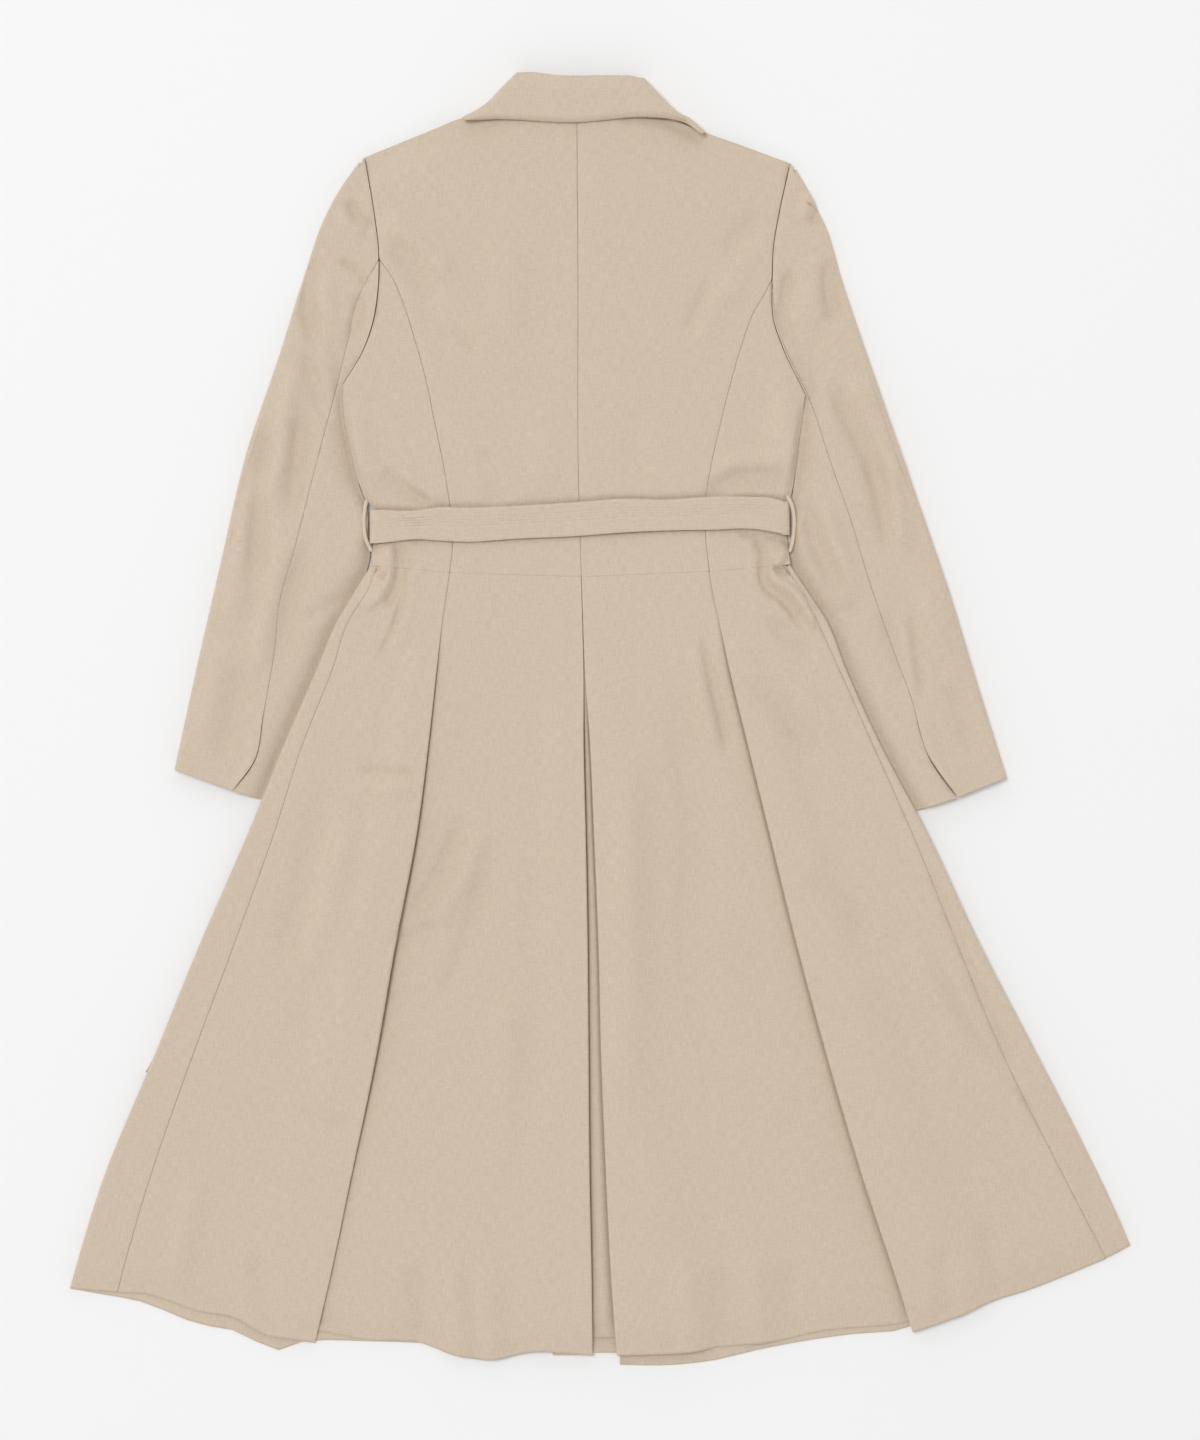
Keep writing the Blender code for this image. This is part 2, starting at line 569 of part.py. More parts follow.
for old in list(bpy.data.objects):
    bpy.data.objects.remove(old)
coat = bpy.data.collections.new("belted_coat")
bpy.context.scene.collection.children.link(coat)

for wearer_side, outward in SIDES.items():
    bodice(wearer_side, outward)
    skirt(wearer_side, outward)
    sleeve(wearer_side, outward)
    belt_loop(wearer_side)
pleat_underlay()
collar()
belt()
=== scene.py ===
import bpy
import numpy as np
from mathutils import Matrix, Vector


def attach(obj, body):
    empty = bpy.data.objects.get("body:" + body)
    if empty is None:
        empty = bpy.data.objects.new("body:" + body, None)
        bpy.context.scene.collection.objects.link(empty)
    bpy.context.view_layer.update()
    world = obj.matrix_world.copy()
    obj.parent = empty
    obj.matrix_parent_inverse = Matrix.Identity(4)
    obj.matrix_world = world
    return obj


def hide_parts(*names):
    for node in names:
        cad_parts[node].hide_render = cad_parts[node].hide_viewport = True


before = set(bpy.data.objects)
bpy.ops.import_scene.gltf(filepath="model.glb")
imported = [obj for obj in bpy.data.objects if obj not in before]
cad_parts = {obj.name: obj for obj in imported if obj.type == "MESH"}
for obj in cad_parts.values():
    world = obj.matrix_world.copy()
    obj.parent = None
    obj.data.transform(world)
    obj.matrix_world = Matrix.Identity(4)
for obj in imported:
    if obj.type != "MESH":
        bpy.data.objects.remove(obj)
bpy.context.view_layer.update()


# Back of the bodice: two panels of plain-woven coating, joined by a pressed seam down the centre and sewn to
# the side panels, the sleeves and the collar. Lines are in millimetres, each from the top of the coat down.

MM = 0.001
SIDES = {"left": -1, "right": 1}
CLOTH = 1.0             # wall of the coating
SEAM = 0.3              # between two pieces that are sewn together
ARM_SEAM = 0.9          # the same at the armhole, where the sleeve is set in
WAIST_SEAM = 0.06       # the same at the waist
FRONT = 0.75            # height of the middle of the front layer above the floor
BACK = 6.5              # the same for the back layer
LAP = {"left": 70.0, "right": 20.0}     # free edge of each front
LAP_RISE, LAP_SLOPE = 2.0, 90.0
ROW_CROWDING = 1.2      # power that draws a panel's rows together at the waist
NECK = {"x": -19.0, "half": 140.0, "slope": 60.0, "y": 545.0, "y_slope": 75.0, "rise": 2.5}
COAT_LIGHT = (0.690, 0.572, 0.450, 1)
COAT_DARK = (0.587, 0.480, 0.370, 1)


def table(columns, *rows):
    """A dictionary of arrays, one for each named column."""
    return dict(zip(columns.split(), np.array(rows, float).T))


def smooth(share):
    """An S-shaped step from 0 to 1: three squares less two cubes of the share."""
    share = np.clip(share, 0, 1)
    return share * share * (3 - 2 * share)


def through(x, known_x, known_y):
    """A cubic through known points, whose slope at each is that of its neighbours."""
    slope = np.gradient(known_y, known_x)
    i = np.clip(np.searchsorted(known_x, x) - 1, 0, len(known_x) - 2)
    step = known_x[i + 1] - known_x[i]
    t = (x - known_x[i]) / step
    value = (1 + 2 * t) * (1 - t) ** 2 * known_y[i] + t * t * (3 - 2 * t) * known_y[i + 1]
    return value + step * t * (1 - t) * ((1 - t) * slope[i] - t * slope[i + 1])


def steps(count):
    """Even shares from 0 to 1."""
    return np.linspace(0, 1, count + 1)


def edged(count, rim, first=True, last=True):
    """Shares from 0 to 1 with two close steps of a rim at the ends that are sewn or cut."""
    inner = np.linspace(3 * rim * first, 1 - 3 * rim * last, count)
    return np.r_[[0, rim] if first else [], inner, [1 - rim, 1] if last else []]


def line(points, shares):
    """A smooth line through a few points, read at shares of its length."""
    points = np.array(points, float)
    chord = np.r_[0, np.cumsum(np.linalg.norm(np.diff(points, axis=0), axis=1))]
    fine = np.linspace(0, chord[-1], 600)
    dense = np.stack([through(fine, chord, column) for column in points.T], axis=1)
    length = np.r_[0, np.cumsum(np.linalg.norm(np.diff(dense, axis=0), axis=1))]
    return np.stack([np.interp(shares * length[-1], length, column) for column in dense.T], axis=1)


def run(shares, start, stop):
    """The part of some shares between start and stop, as shares of that run, held at its ends."""
    return np.clip((shares - start) / (stop - start), 0, 1)


def unit(vectors):
    """Vectors divided by their own lengths."""
    return vectors / np.linalg.norm(vectors, axis=1)[:, None]


def aside(points, amount):
    """A line moved square to itself: to +X where it runs down the coat and amount is positive."""
    along = unit(np.gradient(points, axis=0))
    return points + np.stack([-along[:, 1], along[:, 0]], axis=1) * np.reshape(amount, (-1, 1))


def ruled(first, last, shares):
    """Lines at shares of the way from one line to another, as columns of a grid."""
    return first[:, None] + (last - first)[:, None] * shares[None, :, None]


def patch(first, last, top, bottom, u, v):
    """A grid that fills four edge lines: the two ruled grids added, less the one ruled from the corners."""
    u, v = u[None, :, None], v[:, None, None]
    across = (1 - u) * first[:, None] + u * last[:, None]
    down = (1 - v) * top[None] + v * bottom[None]
    corners = (1 - v) * ((1 - u) * first[0] + u * last[0]) + v * ((1 - u) * first[-1] + u * last[-1])
    return across + down - corners


def distance(plan, edge):
    """Distance from each point to a line, with the share along the line and the side of it."""
    start, step = edge[:-1], np.diff(edge, axis=0)
    offset = plan[..., None, :] - start
    share = np.clip((offset * step).sum(-1) / (step * step).sum(-1), 0, 1)
    gaps = np.linalg.norm(offset - share[..., None] * step, axis=-1)
    i = gaps.argmin(-1)

    def pick(values):
        """Values of the nearest step."""
        return np.take_along_axis(values, i[..., None], -1)[..., 0]

    turned = pick(step[:, 0] * offset[..., 1] - step[:, 1] * offset[..., 0])
    return pick(gaps), (i + pick(share)) / len(start), np.sign(turned)


def near(plan, edge, reach):
    """1 on an edge line, falling smoothly to 0 at reach from it."""
    return 1 - smooth(distance(plan, edge)[0] / reach)


LIFT = table(               # where the raised sides begin, and how high they are
    "y     left  right height",
    (-440, -455, 370,  0),
    (-365, -400, 325,  3.3),
    (-220, -315, 255,  3.3),
    (-140, -265, 220,  4.7),
    (20,   -190, 155,  4.7),
    (150,  -160, 120,  4.7),
    (172,  -155, 118,  3.5),
    (245,  -155, 118,  3.3),
    (300,  -155, 118,  0),
)
LIFT_SLOPE = 120.0


def lift(plan, lapped=True):
    """How far the sleeves, belt tails, collar ends and lapped front raise what lies over them."""
    x, y = plan[..., 0], plan[..., 1]
    left = smooth(1 - (x - np.interp(y, LIFT["y"], LIFT["left"])) / LIFT_SLOPE)
    right = smooth(1 + (x - np.interp(y, LIFT["y"], LIFT["right"])) / LIFT_SLOPE)
    sides = np.interp(y, LIFT["y"], LIFT["height"]) * np.maximum(left, right)
    neck_x = smooth(1 - (np.abs(x - NECK["x"]) - NECK["half"]) / NECK["slope"])
    neck_y = smooth(1 - (NECK["y"] - y) / NECK["y_slope"])
    lap = smooth(1 - (LAP["right"] - x) / LAP_SLOPE) * smooth(1 - (x - LAP["left"]) / LAP_SLOPE)
    return sides + NECK["rise"] * neck_x * neck_y + lapped * LAP_RISE * lap


WAVES = table(
    "length angle phase height",
    (310,   12,   0.4,  0.22),
    (190,   64,   2.1,  0.16),
    (143,   -38,  4.4,  0.13),
    (97,    21,   1.2,  0.09),
    (71,    -74,  3.3,  0.06),
    (52,    47,   5.1,  0.05),
)


def waves(plan):
    """Slow unevenness of laid cloth: long sine waves that cross each other."""
    angle = np.radians(WAVES["angle"])
    way = plan[..., :1] * np.cos(angle) + plan[..., 1:2] * np.sin(angle)
    return (WAVES["height"] * np.sin(2 * np.pi * way / WAVES["length"] + WAVES["phase"])).sum(-1)


def creases(plan, rows, fade=0.25, deepest=4.4):
    """Soft ridges, or troughs where height is negative: a bell across each line, wider on one side by lean,
    that fades over a share of its length at both ends and swells unevenly along it. No trough passes
    deepest."""
    total = np.zeros(plan.shape[:2])
    for height, width, lean, *points in rows:
        path = line(points, steps(14))
        low, high = path.min(0) - 4 * width, path.max(0) + 4 * width
        at = ((plan > low) & (plan < high)).all(-1)
        if at.any():
            gap, share, side = distance(plan[at], path)
            swell = 1 + 0.14 * np.sin(7 * share + height) + 0.06 * np.sin(19 * share + width)
            ends = smooth(share / fade) * smooth((1 - share) / fade)
            total[at] += height * swell * ends * np.exp(-(gap / (width * (1 + lean * side))) ** 2)
    return np.where(total < 0, deepest * np.tanh(total / deepest), total)


def raised(plan, height):
    """Plan points with their height added."""
    return np.dstack([plan, np.broadcast_to(height, plan.shape[:2])])


def beside(*grids):
    """Grids that share an edge column, as one."""
    return np.concatenate([grids[0]] + [grid[:, 1:] for grid in grids[1:]], axis=1)


DIP, ARM_DIP, WAIST_DIP = 0.44, 1.1, 0.07        # how far a pressed seam, an armhole and the waist sink in
DIP_REACH = 1.9


def sunk(points, sewn):
    """Cloth drawn down along its sewn edges, each by its own depth: a bell across the seam, puckered along
    it by two sine waves."""
    points = points.copy()
    for axis, ends in ((1, ("first", "last")), (0, ("top", "bottom"))):
        gap = np.linalg.norm(np.diff(points, axis=axis), axis=2)
        zero = np.zeros_like(gap[:, :1] if axis else gap[:1])
        from_first = np.concatenate([zero, np.cumsum(gap, axis=axis)], axis=axis)
        along = np.linalg.norm(np.diff(points, axis=1 - axis), axis=2)
        start = np.zeros_like(along[:1] if axis else along[:, :1])
        along = np.concatenate([start, np.cumsum(along, axis=1 - axis)], axis=1 - axis)
        total = from_first[:, -1:] if axis else from_first[-1:]
        pucker = 1 + 0.3 * np.sin(along / 6.1) + 0.25 * np.sin(along / 10.7 + 1)
        for end, far in zip(ends, (from_first, total - from_first)):
            if end in sewn:
                points[..., 2] -= sewn[end] * pucker * np.exp(-(far / DIP_REACH) ** 2)
    return points


def woven_group():
    """Plain weave read from a cloth map in metres: fine crossing threads, with thicker slubs that run along
    warp and weft as stretched noise, and slow patches. Gives a colour and the height of the threads."""
    group = bpy.data.node_groups.new("plain_weave", "ShaderNodeTree")
    group.interface.new_socket("Cloth Map", in_out="INPUT", socket_type="NodeSocketVector")
    group.interface.new_socket("Light Thread", in_out="INPUT", socket_type="NodeSocketColor")
    group.interface.new_socket("Dark Thread", in_out="INPUT", socket_type="NodeSocketColor")
    group.interface.new_socket("Color", in_out="OUTPUT", socket_type="NodeSocketColor")
    group.interface.new_socket("Height", in_out="OUTPUT", socket_type="NodeSocketFloat")
    nodes, links = group.nodes, group.links
    given, result = nodes.new("NodeGroupInput"), nodes.new("NodeGroupOutput")

    def noise(scale, detail):
        """Noise over the cloth map, stretched by scale."""
        mapping, texture = nodes.new("ShaderNodeMapping"), nodes.new("ShaderNodeTexNoise")
        mapping.inputs["Scale"].default_value = scale
        texture.noise_dimensions = "2D"
        texture.inputs["Scale"].default_value = 1
        texture.inputs["Detail"].default_value = detail
        links.new(given.outputs["Cloth Map"], mapping.inputs["Vector"])
        links.new(mapping.outputs["Vector"], texture.inputs["Vector"])
        return texture.outputs["Fac"]

    def threads(direction):
        """Even waves across the cloth map, one for each thread."""
        wave = nodes.new("ShaderNodeTexWave")
        wave.bands_direction = direction
        wave.inputs["Scale"].default_value = 350
        wave.inputs["Distortion"].default_value = 0.6
        links.new(given.outputs["Cloth Map"], wave.inputs["Vector"])
        return wave.outputs["Fac"]

    def sum_of(*terms):
        """The sum of some values, each times its weight."""
        total = None
        for value, weight in terms:
            term = nodes.new("ShaderNodeMath")
            term.operation = "MULTIPLY_ADD"
            links.new(value, term.inputs[0])
            term.inputs[1].default_value = weight
            term.inputs[2].default_value = 0
            if total is not None:
                links.new(total, term.inputs[2])
            total = term.outputs[0]
        return total

    warp, weft = noise((900, 110, 1), 2), noise((110, 900, 1), 2)
    patches = noise((26, 19, 1), 3)
    tone = sum_of((warp, 0.52), (weft, 0.42), (patches, 0.06))
    spread = nodes.new("ShaderNodeMapRange")
    spread.inputs["From Min"].default_value = 0.3
    spread.inputs["From Max"].default_value = 0.7
    mix = nodes.new("ShaderNodeMix")
    mix.data_type = "RGBA"
    links.new(tone, spread.inputs["Value"])
    links.new(spread.outputs["Result"], mix.inputs["Factor"])
    links.new(given.outputs["Dark Thread"], mix.inputs["A"])
    links.new(given.outputs["Light Thread"], mix.inputs["B"])
    links.new(mix.outputs["Result"], result.inputs["Color"])
    height = sum_of((threads("X"), 0.3), (threads("Y"), 0.3), (warp, 0.9), (weft, 0.8))
    links.new(height, result.inputs["Height"])
    return group


weave = woven_group()


def cloth_finish(name, light, dark):
    """Matt woven cloth: the weave's colour and a fine bump of its threads, with a dry sheen."""
    material = bpy.data.materials.new(name)
    material.use_nodes = True
    nodes, links = material.node_tree.nodes, material.node_tree.links
    shader = nodes["Principled BSDF"]
    shader.inputs["Roughness"].default_value = 0.88
    shader.inputs["Specular IOR Level"].default_value = 0.25
    shader.inputs["Sheen Weight"].default_value = 0.12
    shader.inputs["Sheen Roughness"].default_value = 0.6
    cloth_map = nodes.new("ShaderNodeUVMap")
    cloth_map.uv_map = "cloth"
    woven = nodes.new("ShaderNodeGroup")
    woven.node_tree = weave
    woven.inputs["Light Thread"].default_value = light
    woven.inputs["Dark Thread"].default_value = dark
    bump = nodes.new("ShaderNodeBump")
    bump.inputs["Strength"].default_value = 0.5
    bump.inputs["Distance"].default_value = 0.0003
    links.new(cloth_map.outputs["UV"], woven.inputs["Cloth Map"])
    links.new(woven.outputs["Color"], shader.inputs["Base Color"])
    links.new(woven.outputs["Height"], bump.inputs["Height"])
    links.new(bump.outputs["Normal"], shader.inputs["Normal"])
    return material


coating = cloth_finish("coating", COAT_LIGHT, COAT_DARK)


def grid_mesh(name, points, grain):
    """A mesh of quads over a grid of points in millimetres, with a cloth map turned by grain degrees."""
    rows, columns = points.shape[:2]
    index = np.arange(rows * columns).reshape(rows, columns)
    quads = np.stack([index[:-1, :-1], index[1:, :-1], index[1:, 1:], index[:-1, 1:]], axis=-1).reshape(-1, 4)
    flat = points.reshape(-1, 3) * MM
    mesh = bpy.data.meshes.new(name)
    mesh.vertices.add(len(flat))
    mesh.vertices.foreach_set("co", flat.ravel())
    mesh.loops.add(quads.size)
    mesh.loops.foreach_set("vertex_index", quads.ravel())
    mesh.polygons.add(len(quads))
    mesh.polygons.foreach_set("loop_start", np.arange(0, quads.size, 4))
    mesh.update(calc_edges=True)
    cos, sin = np.cos(np.radians(grain)), np.sin(np.radians(grain))
    turned = flat[:, :2] @ np.array([[cos, -sin], [sin, cos]])
    mesh.uv_layers.new(name="cloth").data.foreach_set("uv", turned[quads.ravel()].ravel())
    mesh.shade_smooth()
    return mesh


def panel(name, points, sewn=(), grain=0, wall=CLOTH):
    """A cut piece of coating: a grid in the middle of its wall, sunk by a depth along each sewn edge."""
    mesh = grid_mesh(name, sunk(points, sewn), grain)
    mesh.materials.append(coating)
    piece = bpy.data.objects.new(f"{name}_cloth", mesh)
    bpy.context.scene.collection.objects.link(piece)
    shell = piece.modifiers.new("wall", "SOLIDIFY")
    shell.thickness = wall * MM
    shell.offset = 0
    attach(piece, "root")
    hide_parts(name)


ARMHOLE = {
    "left": ((-235, 562), (-226, 510), (-221, 468), (-221.5, 430), (-226, 400), (-237, 368), (-257, 335)),
    "right": ((190, 556), (179, 507), (173, 470), (172, 436), (173, 401), (182, 373), (205, 325)),
}
PRINCESS_AT = {"left": 0.435, "right": 0.49}    # share of the armhole above the princess seam
PRINCESS = {
    "left": ((-209, 444), (-196, 415), (-185, 380), (-175, 345), (-166, 302), (-153, 236), (-147, 175),
             (-150, 147)),
    "right": ((165, 427), (153, 406), (141, 373), (130, 335), (120, 295), (106, 222), (105, 187), (109, 148)),
}
CENTRE = ((-23, 608), (-22, 460), (-21, 220), (-18.5, 143))
SHOULDER = {
    "left": ((-235, 562), (-197, 577.3), (-160, 592), (-142, 599.5), (-128, 603), (-114, 604)),
    "right": ((190, 556), (165, 565), (140, 574), (108, 585), (88, 593), (72, 600)),
}
ARM_RUN = 0.286         # share of the back panel's height beside the sleeve
SHOULDER_RUN = 0.58     # share of its top edge on the shoulder
SHOULDER_PRESS, SHOULDER_REACH = 3.0, 40        # how far the shoulder lies lower, and how far that reaches
FOLD_FADE, FOLD_DEEPEST = 0.12, 4.2
WAIST_FOLDS = (         # folds at the waist, and troughs beside the belt and under the collar's edge
    (5.0, 8, -0.5, (-209, 179), (-208.5, 160), (-209, 147), (-213, 135), (-221, 122), (-236, 108)),
    (2.4, 26, 0, (-212, 172), (-214, 140), (-230, 104)),
    (-7.0, 5, 0, (-200, 181), (-200.5, 160), (-200, 146), (-204, 130), (-216, 112)),
    (-4.6, 4, 0, (-234, 160), (-222, 150), (-212, 140)),
    (-2.8, 4, 0.3, (-183, 168), (-195, 150), (-197, 130), (-202, 105), (-212, 80), (-224, 58)),
    (2.0, 7, 0, (-172, 160), (-186, 142), (-188, 120), (-194, 95), (-206, 66)),
    (-3.6, 3, 0, (-260, 208.6), (-230, 208.4), (-196, 207.6), (-166, 210.5), (-85, 212.5), (-20, 216.6),
     (20, 219.4), (63, 218.6), (115, 221.5), (149, 221.4), (192, 216.8), (220, 214)),
    (-2.4, 2.6, 0, (-260, 174), (-230, 176.6), (-196, 180), (-166, 180), (-85, 181.5), (-20, 184.5),
     (20, 187.5), (63, 189.5), (115, 190.5), (149, 191.5), (190, 185), (220, 180)),
    (-2.2, 2.4, 0, (-140, 598), (-106, 601), (-84, 600.5), (-55, 598.5), (-26, 597.5), (3, 599.5),
     (31, 602.5), (50, 602.5), (68, 599.5), (84, 591.5), (112, 579)),
    (-4.0, 4, 0, (14, 599), (40, 600), (62, 597), (84, 588), (108, 576)),
    (2.4, 26, 0, (168, 174), (176, 145), (202, 106)),
    (8.0, 4.4, 0, (188, 180), (180, 161), (171, 149), (174, 140), (188, 132), (200, 119), (209, 104),
     (216, 88)),
    (-8.0, 5.6, 0.2, (154, 186), (163, 165), (162, 150), (165, 134), (180, 122), (194, 106), (203, 88)),
    (-5.0, 3.6, 0, (172, 152), (180, 149), (190, 147)),
    (-4.0, 4, 0, (136, 187), (165, 185), (196, 176)),
    (1.6, 4, 0, (146, 180), (152, 170), (164, 164), (176, 170)),
)
BODICE_CREASES = (
    (6.2, 12, 0, (-222, 504), (-178, 474), (-140, 436)),
    (-6.4, 10, 0.1, (-211, 480), (-184, 448), (-168, 408)),
    (-4.2, 8, 0, (-184, 410), (-165, 390), (-146, 372)),
    (-3.5, 6, 0, (-148, 390), (-134, 378), (-120, 368)),
    (3.9, 12, 0, (-130, 410), (-112, 370), (-70, 340)),
    (-3.9, 9, 0, (-118, 276), (-108, 242), (-98, 212)),
    (-6.4, 7, 0, (-221, 250), (-196, 232), (-166, 213)),
    (5.2, 7, 0.2, (-204, 250), (-180, 232), (-152, 218)),
    (-3.9, 8, 0.2, (110, 444), (98, 412), (83, 382)),
    (2.5, 10, 0, (124, 436), (112, 404), (98, 372)),
    (-4.4, 10, 0, (122, 462), (144, 486), (164, 506)),
    (3, 13, 0, (170, 480), (140, 450), (124, 404)),
    (-2.5, 7, 0, (-10, 470), (14, 465), (38, 459)),
    (-8.5, 8, 0.2, (100, 222), (142, 238), (168, 239), (196, 232)),
    (5.2, 8, 0, (112, 250), (146, 258), (182, 254)),
    (-3.2, 12, 0, (-232, 330), (-222, 286), (-212, 250)),
    (3.2, 12, 0, (176, 360), (184, 320), (180, 274)),
    (3, 16, 0, (-60, 330), (-52, 280), (-56, 224)),
    (-2.5, 14, 0, (40, 330), (34, 280), (40, 228)),
    (-3, 18, 0, (-66, 480), (-60, 420), (-66, 360)),
    (2.5, 18, 0, (-96, 500), (-92, 430), (-98, 370)),
)


def armhole(side, shares):
    """The armhole, read so that 0.5 is where the princess seam meets it."""
    at = PRINCESS_AT[side]
    return line(ARMHOLE[side], at * run(shares, 0, 0.5) + (1 - at) * run(shares, 0.5, 1))


def princess(side, shares):
    """The princess seam from the armhole to the waist."""
    return line((armhole(side, np.array([0.5]))[0], *PRINCESS[side]), shares)


def back_level(plan, rows=()):
    """Height of the layer that the back of the coat makes, folded and creased where rows are given."""
    height = BACK + lift(plan) + waves(plan)
    if rows:
        height = height + creases(plan, rows) + creases(plan, WAIST_FOLDS, FOLD_FADE, FOLD_DEEPEST)
    return height


for side, out in SIDES.items():
    u, v = edged(62, 0.006), 1 - (1 - edged(128, 0.004)) ** ROW_CROWDING
    in_arm = v < ARM_RUN
    outer = np.where(in_arm[:, None], armhole(side, 0.5 * run(v, 0, ARM_RUN)),
                     princess(side, run(v, ARM_RUN, 1)))
    outer = aside(outer, -out / 2 * np.where(in_arm, ARM_SEAM, SEAM))
    centre = aside(line(CENTRE, v), out * SEAM / 2)
    shoulder = line(SHOULDER[side], run(u, 0, SHOULDER_RUN))
    neck = ruled(shoulder[-1:], centre[:1], run(u, SHOULDER_RUN, 1))[0]
    top = np.where((u < SHOULDER_RUN)[:, None], shoulder, neck)
    top[0] = outer[0]
    waist = ruled(outer[-1:], centre[-1:], u)[0]
    plan = patch(outer, centre, top, waist, u, v)
    plan[-1, :, 1] += WAIST_SEAM / 2
    height = back_level(plan, BODICE_CREASES)
    height -= SHOULDER_PRESS * near(plan, line(SHOULDER[side], steps(20)), SHOULDER_REACH)
    panel(f"back_bodice_{side}", raised(plan, height),
          {"first": np.where(in_arm, ARM_DIP, DIP)[:, None], "last": DIP, "bottom": WAIST_DIP})


# Side of the bodice: a shaped panel of the same coating on each side, sewn in along the princess seam. Its
# outer edge rolls over the sleeve that is tucked against it, and the belt draws it in at the waist.

FLANK = {
    "left": ((-256, 309), (-248, 264), (-239.5, 233), (-230, 215), (-224, 205), (-224, 190), (-226.3, 176),
             (-227.6, 163), (-228, 154)),
    "right": ((199.5, 283), (195, 248), (192, 229), (187, 212), (185, 200), (187.6, 177), (188.6, 166),
              (190, 155)),
}
FLANK_RUN = 0.4         # share of the panel's outer edge beside the sleeve
POINT = 0.006           # where the panel starts below the point in which its seams meet
FLANK_SWELL, SWELL_REACH = 11.0, 34     # how far the side stands up, and how far in that reaches
FLANK_DOWN = {"left": 5.4, "right": 3.6}        # height of its edge, which rolls down towards the sleeve
ROLL_REACH = 4.5


def flank(side, shares):
    """The side of the body from the underarm to the waist."""
    return line((ARMHOLE[side][-1], *FLANK[side]), shares)


for side, out in SIDES.items():
    u = edged(26, 0.012)
    v = POINT + (1 - POINT) * (1 - (1 - edged(92, 0.005)) ** ROW_CROWDING)
    in_arm = v < FLANK_RUN
    outer = np.where(in_arm[:, None], armhole(side, 0.5 + 0.5 * run(v, 0, FLANK_RUN)),
                     flank(side, run(v, FLANK_RUN, 1)))
    outer = aside(outer, -out / 2 * np.where(in_arm, ARM_SEAM, SEAM))
    inner = aside(princess(side, v), out * SEAM / 2)
    plan = ruled(outer, inner, u)
    plan[-1, :, 1] += WAIST_SEAM / 2
    from_edge = distance(plan, flank(side, steps(30)))[0]
    y, underarm = plan[..., 1], ARMHOLE[side][-1][1]
    swell = FLANK_SWELL * np.exp(-(from_edge / SWELL_REACH) ** 2)
    swell *= smooth((y - 220) / 45) * smooth((underarm - y) / 60)
    rolled = np.exp(-(from_edge / ROLL_REACH) ** 3) * smooth((underarm + 4 - y) / 24) * smooth((y - 152) / 25)
    height = (1 - rolled) * (back_level(plan, BODICE_CREASES) + swell) + rolled * FLANK_DOWN[side]
    panel(f"side_bodice_{side}", raised(plan, height),
          {"first": ARM_DIP * in_arm[:, None], "last": DIP, "bottom": WAIST_DIP})


# Front of the bodice: one panel of coating on each side, face down on the floor and hidden by the back. It is
# sewn to the back at the shoulder and the side. The right one laps under the left, and both are plain.

FRONT_NECK = {
    "left": ((-114, 603), (-60, 560), (20, 545), (90, 545)),
    "right": ((72, 600), (52, 568), (20, 546)),
}
FRONT_WAIST = 152.5
FRONT_INSET = 6.0       # how far its side lies in from the side of the back, clear of the sleeve
FRONT_ARM_RUN = 0.57    # share of its outer edge beside the sleeve
FRONT_SHOULDER_RUN = 0.43

for side, out in SIDES.items():
    u, v = steps(30), steps(44)
    outer = np.where((v < FRONT_ARM_RUN)[:, None], armhole(side, run(v, 0, FRONT_ARM_RUN)),
                     flank(side, run(v, FRONT_ARM_RUN, 1)))
    inset = SEAM / 2 + FRONT_INSET * smooth(run(v, FRONT_ARM_RUN - 0.1, FRONT_ARM_RUN + 0.1))
    outer = aside(outer, -out * inset)
    outer[-1, 1] = FRONT_WAIST
    edge = line((FRONT_NECK[side][-1], (LAP[side], FRONT_WAIST)), v)
    shoulder = line(SHOULDER[side], run(u, 0, FRONT_SHOULDER_RUN))
    neck = line(FRONT_NECK[side], run(u, FRONT_SHOULDER_RUN, 1))
    top = np.where((u < FRONT_SHOULDER_RUN)[:, None], shoulder, neck)
    top[0] = outer[0]
    waist = ruled(outer[-1:], edge[-1:], u)[0]
    plan = patch(outer, edge, top, waist, u, v)
    plan[-1, :, 1] += SEAM / 2
    panel(f"front_bodice_{side}", raised(plan, FRONT + lift(plan, side == "left")))


# Back and sides of the skirt: flared panels of coating, sewn on at the waist seam. Each side panel folds back
# under itself and laps over the back panel as a knife pleat. The two back panels meet in an inverted pleat.

TOP_RISE = {"fold": 9.2, "centre": 6.0}         # cloth over a pleat, above the layer below it
RETURN_RISE = 1.2                               # cloth turned under, above the layer below it
SHUT_RETURN, SHUT_UNDER = -1.0, -2.0            # both where the pleat is sewn shut, against the panel
SHUT_REACH = 2.2                                # how far before a shut fold the panel below starts to dip
OPEN_UNDER, OPEN_REACH = {-1: 2.4, 1: 0.9}, 9   # how far it dips slowly before an open fold, left and right
EDGE_UNDER, EDGE_REACH = 4.8, 2.4               # and sharply, just before the fold
LEAST_OVER_FRONT = 1.15                         # the least height of a panel's middle over that of the front
FOLD_DEPTH = 0.5                                # a pressed fold is less deep than a half circle
PLEAT_OPENING = table(                          # 0 where it is sewn shut
    "y     left_fold right_fold left_pleat right_pleat",
    (104,  0,        0,         0,         0),
    (88,   0.04,     0.12,      0,         0),
    (50,   0.3,      0.55,      0.05,      0.05),
    (-20,  0.46,     0.76,      0.7,       0.8),
    (-110, 0.74,     0.8,       0.9,       1.0),
    (-225, 1.0,      0.84,      0.95,      1.0),
    (-330, 0.8,      0.88,      0.95,      1.0),
    (-450, 0.42,     0.9,       0.9,       1.0),
    (-640, 0.32,     0.76,      0.8,       0.95),
)
